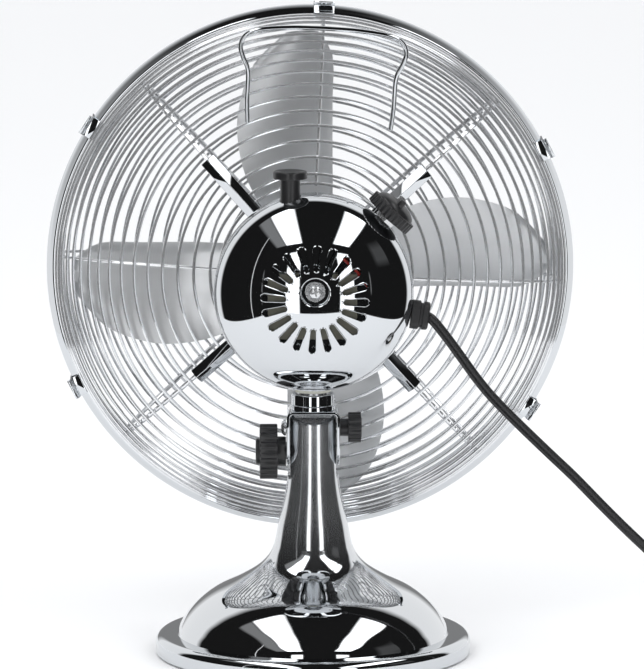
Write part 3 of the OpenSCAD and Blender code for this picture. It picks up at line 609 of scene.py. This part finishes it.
# %% Screw in the middle of the recess
screw_line = [(0, -12), (2, -12), (2, 0), (4.1, 0), (4.3, 0.3), (4.3, 0.9)]
screw_line += arc(0, 0.9, 4.3, 8, 90, 8, 2.1 / 4.3)
screw = lathe("Cover screw", mm(screw_line), 48)
for a in (20, 110):
    cut(screw, block((0.005, 0.001, 0.002), (0, 0, 0.003), turned(a)))
change(screw, "BEVEL", width=0.00012, segments=1, limit_method="ANGLE", angle_limit=math.radians(50))
settle(screw, HEAD @ moved(0, 0.005, 0.059))
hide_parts("cover_screw")
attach(screw, "head")

# %% [markdown]
# ## Front cover and spider
# A cup closes the motor's front. The spider is a cap pressed over its corner, with four
# ridged arms that hold the rear guard. Each arm's ridge gives one bright and one dark face.

# %% Spin the cup and press the arms
front_line = [(48.2, 0), (48.2, -6), (50, -6)] + arc(40, -44, 10, 0, -90, 14)
front_line += [(11, -54), (11, -52.8), (40, -52.8)] + arc(40, -44, 8.8, -90, 0, 8)
front_line += [(48.8, -7.4), (46.8, -7.4), (46.8, 0)]
front = lathe("Front cover", mm(front_line + front_line[:1]), 192)
cut(front, rod(0.013, 0.06, neck_place))
settle(front, HEAD)
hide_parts("front_cover")
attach(front, "head")

cap_line = [(20, -54.3), (40, -54.3)] + arc(40, -44, 10.3, -90, 0, 12) + [(51.8, -45)]
cap_line += arc(40, -45, 11.8, 0, -90, 14) + [(20, -56.8)]
spider_cap = lathe("Spider", mm(cap_line + cap_line[:1]), 192)
arm_line = [(-5, 0), (5, 0), (5, 0.9), (0, 4), (-5, 0.9)]
arm = prism("Spider arm", mm(arm_line), 0, 0.0465, soften=0.0004)
arm_tilt = math.atan(0.1064)
arm_place = moved(0.0509, 0, -0.0498) @ Matrix.Rotation(arm_tilt, 4, "Y")
settle(arm, arm_place @ turned(90) @ Matrix.Rotation(math.pi / 2, 4, "X"))
arms = copies(arm, [turned(45 + 90 * i) for i in range(4)])
spider = settle(join("Spider", [spider_cap, arms]), HEAD, 30)
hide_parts("guard_spider")
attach(spider, "head")
print("spider", len(spider.data.polygons), "faces")

# %% [markdown]
# ## Wire guards
# Each guard is a low dome of rings on spokes, spot welded. A ring is a small circle spun
# round the axis; a spoke is a bent wire, made once and copied round.

# %% Rings and spokes
REAR = HEAD @ moved(0, 0, -rim_y)
FRONT = REAR @ Matrix.Scale(-1, 4, (0, 0, 1))
dome_r = 161
dome_low = 6.5
dome_h = 30.5
ring_wire = 1.0
rim_wire = 1.5
inner_a = math.degrees(math.asin(57.5 / dome_r))


def dome(a):
    """A point of the guard's dome at an angle from its middle: radius, height over the rim."""
    return dome_r * math.sin(math.radians(a)), dome_low + dome_h * math.cos(math.radians(a))


def guard(name, count, extra, side):
    """The dome's rings from the rim inwards, any extra ones, and the thick rim wire."""
    rings = [dome(84.7 - 4.1 * i) for i in range(count)] + extra
    made = [hoop(name, r * MM, ring_wire * MM, z * MM, 150, 8) for r, z in rings]
    made.append(hoop(name, 0.1624, rim_wire * MM, 0.0026, 192, 10))
    piece = settle(join(name, made), side, 60)
    return outward(piece)


def spoke_line(start, radius):
    """A spoke's line under the rings, from an angle on the dome out to the rim."""
    line = []
    for a in np.linspace(start, 90, 26):
        r, z = dome(a)
        lean = Vector((dome_h * math.sin(math.radians(a)), dome_r * math.cos(math.radians(a)))).normalized()
        away = 1.06 + radius
        line.append(((r - lean.x * away) * MM, 0, (z - lean.y * away) * MM))
    return line + [((dome_r - radius - 0.6) * MM, 0, 0.0043), ((dome_r - radius - 0.1) * MM, 0, 0.0022)]


def spokes(name, start, side):
    """Four thin spokes and four thick ones between them."""
    thin = wire(name, spoke_line(start, ring_wire), ring_wire * MM, sides=2)
    thin = copies(thin, [turned(90 * i) for i in range(4)])
    thick = wire(name, spoke_line(start, rim_wire), rim_wire * MM, sides=3)
    thick = copies(thick, [turned(45 + 90 * i) for i in range(4)])
    return outward(settle(join(name, [thin, thick]), side, 60))


guards = {
    "rear_guard_rings": guard("Rear guard rings", 16, [(57.5, dome(inner_a)[1])], REAR),
    "front_guard_rings": guard("Front guard rings", 18, [], FRONT),
    "rear_guard_spokes": spokes("Rear guard spokes", inner_a - 0.6, REAR),
    "front_guard_spokes": spokes("Front guard spokes", 13, FRONT),
}
for node, piece in guards.items():
    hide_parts(node)
    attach(piece, "head")
    print(piece.name, len(piece.data.polygons), "faces")

# %% [markdown]
# ## Trim ring, clips, handle and medallion
# A rolled channel closes both guards' rims, held by six sprung clips with curled ends. The
# handle is one bent wire. The medallion is a plain pressed disc in the front guard's middle.

# %% Roll, bend and press them
half_t = 7.5
trim_slope = spline([(162.35, 7.35), (163.6, 5.3), (165, 3.0), (166.1, 1.1), (166.42, 0.45), (166.5, 0)], 3)
trim_side = [(161.3, half_t), (162.05, half_t)] + [tuple(p) for p in trim_slope]
inside = [(165.6, 0), (165.2, 1), (161.8, 6.7), (161.3, 6.7)]
trim_line = trim_side + [(r, -z) for r, z in trim_side[-2::-1]]
trim_line += [(r, -z) for r, z in inside[:0:-1]] + inside
trim = lathe("Trim ring", mm(trim_line + trim_line[:1]), 256)
settle(trim, REAR)
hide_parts("trim_ring")
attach(trim, "head")

clip_top = half_t + 0.1
clip_half = 0.0065
leaf = [(161.6, -8.6), (167.55, -8.6), (167.55, 9.5)] + arc(169.55, 9.5, 2, 180, 90, 6)[1:]
leaf += arc(169.55, 9.5, 3, 90, 180, 8) + [(166.55, -7.6), (161.6, -7.6)]
clip = prism("Guard clips", mm(leaf), -clip_half, clip_half, soften=0.0002, segments=2)
lip_box = [(161.6, clip_top), (166.6, clip_top), (166.6, clip_top + 1), (161.6, clip_top + 1)]
lip = prism("Clip lip", mm(lip_box), -clip_half, clip_half, soften=0.0002, segments=2)
clip = settle(join("Guard clips", [clip, lip]), Matrix.Rotation(math.pi / 2, 4, "X"))
clips = copies(clip, [turned(30 + 60 * i) for i in range(6)])
settle(clips, REAR)
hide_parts("guard_clips")
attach(clips, "head")

handle_half = [
    (44.8, 93.8, -53.1), (45.8, 108, -50), (46.2, 126.5, -46), (49.8, 135.5, -44.8),
    (51.6, 142.6, -43.8), (48.6, 149.4, -43), (40.1, 153.2, -42.5), (22.2, 155.3, -42), (8, 155.8, -42),
]
handle_line = handle_half + [(-x, y, z) for x, y, z in handle_half[::-1]]
handle = wire("Carrying handle", spline(handle_line, 8) * MM, 0.0015, sides=5, place=HEAD)
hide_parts("carry_handle")
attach(handle, "head")

badge_line = [(0, 37.8), (36, 36.4), (38.6, 35), (39.4, 35.6)] + arc(38, 37.4, 1.4, 0, 90, 8)
badge_line += [(36, 38.4), (30, 38), (26, 38.6), (22, 39.4), (11, 40), (0, 40.2)]
badge = outward(settle(lathe("Medallion", mm(badge_line), 128), FRONT))
settle(badge)
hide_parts("front_medallion")
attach(badge, "head")
print("trim", len(trim.data.polygons), "clips", len(clips.data.polygons))

# %% [markdown]
# ## Black knobs
# Moulded from hard black plastic. The ribs are round flutes cut in the outline, and every
# outer edge is rounded, so that each rib carries its own small highlight.

# %% Tilt knob and thumb knob
def ribbed(name, radius, height, flutes, flute_r, place, soften=0.0006):
    """A knob's fluted body, in millimetres."""
    return prism(name, mm(fluted_outline(radius, flutes, flute_r)), 0, height * MM, place, soften)


tilt_neck = lathe("Tilt knob", mm([(0, 0), (9.1, 0), (9.3, 0.3), (9.3, 5.4), (0, 5.4)]), 64)
tilt_body = ribbed("Tilt knob", 17.25, 11, 16, 2.2, moved(0, 0, 0.0053))
tilt_cap = lathe("Tilt knob", mm([(0, 16.1), (8.2, 16.1), (8.2, 18)] + arc(7.4, 18, 0.8, 0, 90, 5)
                                 + [(0, 18.8)]), 64)
tilt_knob = join("Tilt knob", [tilt_neck, tilt_body, tilt_cap])
settle(tilt_knob, moved(-0.0168, 0, (pivot_z - slot_r) * MM) @ Matrix.Rotation(-math.pi / 2, 4, "Y"))
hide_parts("tilt_knob")
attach(tilt_knob, "tilt_lock")

thumb_neck = lathe("Thumb knob", mm([(0, 0), (5.5, 0), (5.5, 5.2), (0, 5.2)]), 48)
thumb_body = ribbed("Thumb knob", 9.5, 8, 14, 1.3, moved(0, 0, 0.005), 0.0004)
thumb_dish = lathe("Thumb knob", mm([(0, 12.9), (6.2, 12.9), (6.2, 13.3), (5.6, 13.3), (0, 13.0)]), 48)
thumb_knob = join("Thumb knob", [thumb_neck, thumb_body, thumb_dish])
settle(thumb_knob, moved(0.0168, 0, pivot_z * MM) @ Matrix.Rotation(math.pi / 2, 4, "Y"))
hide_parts("pivot_knob")
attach(thumb_knob, "pivot_nut")

# %% Speed knob and oscillation knob
skirt = ribbed("Speed knob", 15.75, 6.8, 30, 1.2, moved(0, 0, 0.065), 0.0005)
dome_line = [(0, 71.6), (13.4, 71.6), (13.4, 71.8)] + arc(0, 71.8, 13.4, 4, 90, 14, 5.6 / 13.4)
speed_dome = lathe("Speed knob", mm(dome_line), 96)
grip = prism("Speed knob", mm(stadium_outline(22, 4.2)), 0.0746, 0.0797, soften=0.0009, segments=4)
stem = rod(0.003, 0.0145, moved(0, 0, 0.051), 32)
speed_knob = join("Speed knob", [skirt, speed_dome, grip, stem])
settle(speed_knob, HEAD @ speed_place)
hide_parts("speed_knob")
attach(speed_knob, "speed_dial")

pull_line = [(0, 54.5), (6.2, 54.5), (6.2, 70), (6.4, 70.6), (7, 71), (9.9, 71)]
pull_line += arc(9.9, 71.6, 0.6, -90, 0, 4)[1:] + arc(9.1, 74.4, 1.4, 0, 90, 8)
pull_line += [(8.3, 75.7), (6, 75.1), (3, 74.6), (0, 74.4)]
pull_knob = lathe("Oscillation knob", mm(pull_line), 96, moved(-0.0145, -0.03, axis_h))
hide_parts("oscillation_knob")
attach(pull_knob, "clutch")
print("knobs", [len(p.data.polygons) for p in (tilt_knob, thumb_knob, speed_knob, pull_knob)])

# %% [markdown]
# ## Cord bush and plug
# The bush is a soft black oval with a groove, which grips the cord where it leaves the head.
# The plug lies on the coil. Both are outlines extruded in steps, each step scaled a little.


# %% Step an outline up
def stepped(name, outline, steps, place=None):
    """An outline extruded through steps of (height, share of its size), rounded as moulded."""
    piece = prism(name, mm(outline), steps[0][0] * MM, steps[1][0] * MM)
    low_z = steps[1][0]
    share = 1.0
    for z, size in steps[2:]:
        edit(piece, "DESELECT")
        bpy.ops.mesh.select_mode(type="FACE")
        bpy.ops.object.mode_set(mode="OBJECT")
        for face in piece.data.polygons:
            face.select = face.center.z > low_z * MM - 1e-6 and face.normal.z > 0.9
        bpy.ops.object.mode_set(mode="EDIT")
        bpy.ops.mesh.extrude_region_move(TRANSFORM_OT_translate={"value": (0, 0, (z - low_z) * MM)})
        ratio = size / share
        bpy.ops.transform.resize(value=(ratio, ratio, 1), center_override=(0, 0, z * MM))
        low_z, share = z, size
        bpy.ops.object.mode_set(mode="OBJECT")
    outward(piece)
    change(piece, "BEVEL", width=0.0004, segments=3, limit_method="ANGLE", angle_limit=math.radians(30))
    return settle(piece, place)


bush_steps = [(8.0, 0.98), (13.0, 0.98), (13.5, 0.84), (14.9, 0.84), (15.4, 0.97), (18.2, 0.94), (19, 0.86)]
bush_steps = [(z, size / 0.98) for z, size in bush_steps]
bush = stepped("Cord bush", stadium_outline(18, 9.6, 16), bush_steps, HEAD @ bush_place)
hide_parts("cord_bush")
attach(bush, "head")

plug_mid = middle("plug_body")
plug_frame = moved(coil_mid.x, plug_mid.y, plug_mid.z)
plug_frame = plug_frame @ Matrix.Rotation(-math.pi / 2, 4, "Y")
corner = arc(3.5, 7, 2, 0, 90, 5) + arc(-3.5, 7, 2, 90, 180, 5)
corner += arc(-3.5, -7, 2, 180, 270, 5) + arc(3.5, -7, 2, 270, 360, 5)
plug_steps = [(0, 1), (8, 1), (9, 0.94), (11, 0.94), (12, 1), (22, 1), (24, 0.92), (28, 0.82)]
plug = stepped("Plug", corner, plug_steps, plug_frame)
strain = stepped("Plug", stadium_outline(8, 7.9, 12),
                 [(-9, 1), (-7, 1), (-6.6, 0.85), (-5.8, 0.85), (-5.4, 1), (0.2, 1)], plug_frame)
plug = join("Plug", [plug, strain])
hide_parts("plug_body")
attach(plug, "yoke")
print("bush", len(bush.data.polygons), "plug", len(plug.data.polygons))

# %% [markdown]
# ## Blades
# Four sheet blades, twisted and slightly hollow. The working model has their exact shape, so a copy of it
# is merged and smoothed.

# %% Smooth the blades
blades_node = nodes["fan_blades"]
choose(blades_node)
bpy.ops.object.duplicate()
blades = bpy.context.object
for key in list(blades.keys()):
    del blades[key]
blades.name = "Blades"
blades_at = blades.matrix_world.copy()
blades.parent = None
blades.matrix_world = blades_at
outward(blades)
settle(blades, sharp=40)
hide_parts("fan_blades")
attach(blades, "rotor")
print("blades", len(blades.data.polygons), "faces")

# %% [markdown]
# ## Materials
# A material is a small graph of nodes. The class below wraps one socket, so that sums and
# products of patterns can be written as ordinary maths. `make` adds any other node. Patterns
# read Object coordinates, because every piece keeps its place in its mesh.


# %% A socket that can be reckoned with
class Signal:
    """One output socket. Arithmetic on it adds Math nodes."""

    def __init__(self, tree, socket):
        self.tree = tree
        self.socket = socket

    def make(self, kind, output=0, fields=(), **inputs):
        """Adds a node of any kind, with its fields set and its inputs linked or filled."""
        node = self.tree.nodes.new(kind)
        for name, value in dict(fields).items():
            setattr(node, name, value)
        for name, value in inputs.items():
            key = int(name[1:]) if name[0] == "_" else name.replace("_", " ")
            if isinstance(value, Signal):
                self.tree.links.new(value.socket, node.inputs[key])
            else:
                node.inputs[key].default_value = value
        return Signal(self.tree, node.outputs[output])

    def maths(self, operation, *others):
        inputs = {f"_{i}": v for i, v in enumerate((self, *others))}
        return self.make("ShaderNodeMath", fields={"operation": operation}, **inputs)

    def swapped(self, operation, other):
        return self.make("ShaderNodeMath", fields={"operation": operation}, _0=other, _1=self)

    def __add__(self, other):
        return self.maths("ADD", other)

    def __sub__(self, other):
        return self.maths("SUBTRACT", other)

    def __rsub__(self, other):
        return self.swapped("SUBTRACT", other)

    def __mul__(self, other):
        return self.maths("MULTIPLY", other)

    def __rmul__(self, other):
        return self.swapped("MULTIPLY", other)

    def __truediv__(self, other):
        return self.maths("DIVIDE", other)

    def __gt__(self, other):
        return self.maths("GREATER_THAN", other)

    def __lt__(self, other):
        return self.maths("LESS_THAN", other)

    def within(self, low, high, soft=0.01):
        """1 between low and high, 0 outside, with soft edges."""
        rise = ((self - low) / soft + 0.5).clamped()
        fall = ((high - self) / soft + 0.5).clamped()
        return rise * fall

    def clamped(self):
        return self.make("ShaderNodeClamp", Value=self, Min=0.0, Max=1.0)

    def colours(self, dark, light):
        """A mix of two colours by this value."""
        return self.make(
            "ShaderNodeMix", 2, {"data_type": "RGBA"}, Factor=self, _6=(*dark, 1), _7=(*light, 1)
        )


class Finish:
    """A Principled material: its shader's own sockets by name, and what varies linked to them."""

    def __init__(self, name, colour, rough, metal=0.0, **sockets):
        self.material = bpy.data.materials.new(name)
        self.material.use_nodes = True
        self.tree = self.material.node_tree
        self.shader = self.tree.nodes["Principled BSDF"]
        self.material.diffuse_color = (*colour, 1)
        self.material.metallic = metal
        self.material.roughness = rough
        values = {"Base Color": (*colour, 1), "Roughness": rough, "Metallic": metal}
        values.update({key.replace("_", " "): value for key, value in sockets.items()})
        for key, value in values.items():
            self.shader.inputs[key].default_value = value
        place = self.tree.nodes.new("ShaderNodeTexCoord")
        self.place = Signal(self.tree, place.outputs["Object"])

    def set(self, socket, signal):
        self.tree.links.new(signal.socket, self.shader.inputs[socket])
        return self

    def noise(self, size, detail=3.0, stretch=(1, 1, 1)):
        """Noise whose lumps are about size metres."""
        spread = self.place.make("ShaderNodeMapping", Vector=self.place, Scale=stretch)
        return self.place.make("ShaderNodeTexNoise", Vector=spread, Scale=1 / size, Detail=detail)

    def bumps(self, height, depth):
        """A bump whose full height is depth metres."""
        self.set("Normal", self.place.make("ShaderNodeBump", Height=height, Strength=1.0, Distance=depth))
        return self

    def varied(self, low, high, pattern):
        """Roughness that wanders between low and high."""
        return self.set("Roughness", (pattern * (high - low) + low).clamped())


# %% [markdown]
# ## Finishes
# Chrome plate is a nearly perfect mirror, a little dark and cool. Wire is plated the same but
# drawn, so it is a shade less sharp. The aluminium is rolled sheet with a fine grain.

# %% Metal finishes
chrome = Finish("Chrome plate", (0.64, 0.66, 0.68), 0.025, 1.0)
chrome.varied(0.012, 0.045, chrome.noise(0.03))
column_chrome = Finish("Column chrome", (0.66, 0.675, 0.69), 0.1, 1.0)
height = column_chrome.place.make("ShaderNodeSeparateXYZ", 2, Vector=column_chrome.place)
satin = ((height - 0.05) / 0.04).clamped()
polish = column_chrome.noise(0.0012, 2.0, (1, 1, 0.02))
column_chrome.set("Roughness", (satin * (polish * 0.04 + 0.11) + 0.035).clamped())
column_chrome.set("Metallic", 1 - satin * 0.06)
wire_chrome = Finish("Plated wire", (0.8, 0.81, 0.825), 0.09, 0.78)
wire_chrome.varied(0.06, 0.14, wire_chrome.noise(0.004))
aluminium = Finish("Rolled aluminium", (0.66, 0.67, 0.68), 0.36, 0.75)
grain = aluminium.noise(0.0006, 2.0, (1, 0.06, 1))
aluminium.varied(0.28, 0.44, grain)
aluminium.set("Base Color", aluminium.noise(0.03, 4.0).colours((0.62, 0.63, 0.64), (0.7, 0.71, 0.72)))
casting = Finish("Cast aluminium", (0.6, 0.6, 0.53), 0.5, 0.2)
casting.varied(0.42, 0.62, casting.noise(0.002)).bumps(casting.noise(0.0012), 0.00008)
housing = Finish("Gearbox paint", (0.3, 0.29, 0.23), 0.45)
housing.varied(0.35, 0.6, housing.noise(0.004)).bumps(housing.noise(0.0009), 0.00004)
steel = Finish("Zinc-plated steel", (0.7, 0.71, 0.72), 0.25, 0.85)
steel.varied(0.18, 0.34, steel.noise(0.002))
lamination = Finish("Laminated steel", (0.22, 0.23, 0.24), 0.45, 0.9)
layers = lamination.place.make("ShaderNodeTexWave", 1, {"bands_direction": "Y"},
                               Vector=lamination.place, Scale=300.0)
lamination.bumps(layers, 0.0001)
copper = Finish("Enamelled copper", (0.33, 0.1, 0.035), 0.3, 0.8)
copper.varied(0.25, 0.4, copper.noise(0.0008))
brass = Finish("Machined brass", (0.62, 0.44, 0.18), 0.28, 1.0)
brass.varied(0.2, 0.36, brass.noise(0.0015))
iron = Finish("Cast iron", (0.05, 0.05, 0.055), 0.75, 0.4)
iron.bumps(iron.noise(0.0015), 0.0002)
print("metals:", len(bpy.data.materials))

# %% [markdown]
# Hard black plastic is glossy with faint moulding ripples. Rubber and the cord's PVC are
# duller. Each motor lead has a plain colour of its own.

# %% Plastic and rubber finishes
knob_black = Finish("Black moulding", (0.014, 0.014, 0.015), 0.3, IOR=1.5)
knob_black.varied(0.24, 0.38, knob_black.noise(0.003))
pvc = Finish("Cord PVC", (0.008, 0.008, 0.009), 0.26)
pvc.varied(0.2, 0.34, pvc.noise(0.002)).bumps(pvc.noise(0.0008), 0.00002)
rubber = Finish("Bush rubber", (0.012, 0.012, 0.013), 0.4)
rubber.varied(0.34, 0.5, rubber.noise(0.002))
pad_rubber = Finish("Foot rubber", (0.02, 0.02, 0.022), 0.8)
pad_rubber.bumps(pad_rubber.noise(0.001), 0.0001)
lead_colours = {"Red": (0.5, 0.03, 0.02), "Yellow": (0.62, 0.36, 0.03), "Blue": (0.02, 0.09, 0.4)}
lead_finish = {name: Finish(f"{name} lead", colour, 0.35) for name, colour in lead_colours.items()}
print("finishes:", len(bpy.data.materials))

# %% [markdown]
# ## Motor leads
# Three insulated wires run up behind the vents to the speed switch. Each is a bent wire with
# its own colour, so the finish stays one plain value.

# %% Bend the leads
lead_lines = {
    "Blue": [(14, 26, 47), (16, 30, 50), (22, 27, 51), (29, 22, 48), (36, 17, 44)],
    "Yellow": [(17, 24, 46), (20, 27, 49), (26, 21, 50.5), (32, 13, 49.5), (38, 8, 45)],
    "Red": [(12, 22, 48), (15, 26, 51), (20, 22, 52), (27, 15, 51.5), (34, 4, 48)],
}
leads = {}
for name, line in lead_lines.items():
    lead = wire(f"{name} lead", spline(line, 8) * MM, 0.0009, sides=3, place=FAN)
    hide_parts("motor_leads")
    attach(lead, "head")
    leads[name] = lead
print("leads", len(leads))

# %% [markdown]
# ## Which part has which finish
# The working model's parts that stay as they are get a finish by name. The new pieces get theirs; their
# list also names the material slot that they belong to in the working model.

# %% Hand out the finishes
cad_finish = {
    casting: ["motor_frame", "front_bearing_bracket"],
    housing: ["gearbox"],
    lamination: ["stator_core", "rotor_core"],
    copper: ["stator_coils"],
    brass: ["shaft_bushes", "worm_wheel", "crank_gear", "plug_pins"],
    steel: [
        "base_plate", "base_screws", "column_head", "pivot_bolt", "collar_screw", "swivel_washer",
        "tilt_stud", "cover_washer", "motor_bolts", "switch_nut", "clutch_rod", "clutch_spindle",
        "link_arm", "motor_shaft", "worm", "spider_screws", "blade_rivets",
    ],
    aluminium: ["blade_hub", "blade_irons"],
    chrome: ["hub_cap"],
    iron: ["base_weight"],
    knob_black: ["speed_switch"],
    pvc: ["cord_tie"],
    pad_rubber: ["foot_pad"],
}
for finish, names in cad_finish.items():
    for name in names:
        part = nodes[name]
        part.data.materials.clear()
        part.data.materials.append(finish.material)
pieces = [
    (column_chrome, "chrome", [bell]),
    (chrome, "chrome", [disc, strap, collar, bulb, front, spider, trim, clips, handle, badge]),
    (wire_chrome, "guard_wire", list(guards.values())),
    (steel, "steel", [screw]),
    (aluminium, "blade_aluminium", [blades]),
    (knob_black, "black_plastic", [tilt_knob, thumb_knob, speed_knob, pull_knob]),
    (rubber, "bush_rubber", [bush]),
    (pvc, "cord_pvc", [cord, plug]),
]
pieces += [(lead_finish[name], "leads", [lead]) for name, lead in leads.items()]
for finish, slot_name, made in pieces:
    for piece in made:
        piece.data.materials.clear()
        piece.data.materials.append(finish.material)
print("pieces with a finish:", sum(len(made) for _, _, made in pieces))

# %% [markdown]
# ## Studio
# Chrome has no colour of its own: it shows the room. Mirror rays therefore see a dark room
# with two ceiling panels, two upright panels, a few thin strips of light and a white sweep
# behind the fan. All other rays see an even white, so the table stays pale and its shadow
# soft. The numbers are directions: how far a panel reaches sideways and up, at distance one.

# %% Table
clear()
bpy.ops.mesh.primitive_plane_add(size=1, location=(0, 0, 0))
table = bpy.context.object
table.name = "Table"
table.scale = (0.82, 9.76, 1)
table.location = (0.02, 4.12, 0)
choose(table)
bpy.ops.object.transform_apply(location=True, rotation=True, scale=True)
edit(table, "DESELECT")
bpy.ops.object.mode_set(mode="OBJECT")
for vertex in table.data.vertices:
    vertex.select = vertex.co.y > 5
bpy.ops.object.mode_set(mode="EDIT")
bpy.ops.transform.resize(value=(5, 1, 1), center_override=(0.02, 9, 0))
bpy.ops.object.mode_set(mode="OBJECT")
table_top = Finish("Pale table", (0.94, 0.945, 0.955), 0.7, Specular_IOR_Level=0.1)
table.data.materials.append(table_top.material)

# %% World
world = bpy.data.worlds.new("Studio")
bpy.context.scene.world = world
world.use_nodes = True
sky = world.node_tree
sky.nodes.clear()
ray = sky.nodes.new("ShaderNodeTexCoord")
towards = Signal(sky, ray.outputs["Generated"])
axes = sky.nodes.new("ShaderNodeSeparateXYZ")
sky.links.new(towards.socket, axes.inputs[0])
dx, dy, dz = (Signal(sky, axes.outputs[i]) for i in range(3))
above = dz > 0.02
up = dz.maths("MAXIMUM", 0.02)
ceiling_x = dx / up
ceiling_y = dy / up
ceiling = above * ceiling_y.within(-1.25, 0.15, 0.04)
panels = ceiling_x.within(-0.6, -0.25, 0.05) + ceiling_x.within(0.45, 0.85, 0.05)
strip = ceiling_x.within(-0.88, -0.62, 0.08) * 0.08
behind_camera = dy < -0.02
away = (dy * -1).maths("MAXIMUM", 0.02)
wall_x = dx / away
wall_z = dz / away
uprights = wall_x.within(-0.37, -0.18, 0.02) + wall_x.within(0.36, 0.6, 0.02)
uprights = uprights * wall_z.within(-0.5, 0.58, 0.03) * behind_camera
thin_line = wall_x.within(-1.345, -1.31, 0.01) * wall_z.within(-0.8, 1.5, 0.1) * behind_camera
left_streak = wall_x.within(-0.885, -0.855, 0.015) * wall_z.within(-0.25, 0.3, 0.1) * 0.2 * behind_camera
right_streak = wall_x.within(1.05, 1.09, 0.015) * wall_z.within(-0.1, 0.28, 0.1) * 0.2 * behind_camera
window = wall_x.within(1.7, 6.0, 0.4) * behind_camera * dz.within(0.3, 0.54, 0.1) * 0.07
sweep = ((dy - 0.37) / 0.1).clamped() * (1.05 - 0.8 * ((dy - 0.9) / 0.06).clamped())
bright = ceiling * (panels + strip) * 3.2 + uprights * 2.4
bright = bright + thin_line * 1.2 + left_streak + right_streak + window
room = bright + sweep + 0.012
kind = sky.nodes.new("ShaderNodeLightPath")
glossy = Signal(sky, kind.outputs["Is Glossy Ray"])
strength = room * glossy + (1 - glossy)
light = sky.nodes.new("ShaderNodeBackground")
light.inputs["Color"].default_value = (0.985, 0.99, 1, 1)
sky.links.new(strength.socket, light.inputs["Strength"])
output = sky.nodes.new("ShaderNodeOutputWorld")
sky.links.new(light.outputs[0], output.inputs[0])
print("studio nodes", len(sky.nodes))


# %% Softboxes
def softbox(name, place, size, power):
    """A soft area light aimed at the fan, seen by no mirror, since the panels are in the World."""
    bpy.ops.object.light_add(type="AREA", location=place)
    lamp = bpy.context.object
    lamp.name = name
    lamp.data.shape = "RECTANGLE"
    lamp.data.size = size[0]
    lamp.data.size_y = size[1]
    lamp.data.energy = power
    aim_at = Vector((0, 0, 0.2)) - Vector(place)
    lamp.rotation_euler = aim_at.to_track_quat("-Z", "Y").to_euler()
    lamp.visible_glossy = False
    return lamp


softbox("Left softbox", (-1.0, -1.2, 2.0), (1.0, 1.6), 14)
softbox("Right softbox", (1.5, -1.2, 1.8), (1.0, 1.6), 12)
bpy.context.scene.view_settings.view_transform = "Standard"
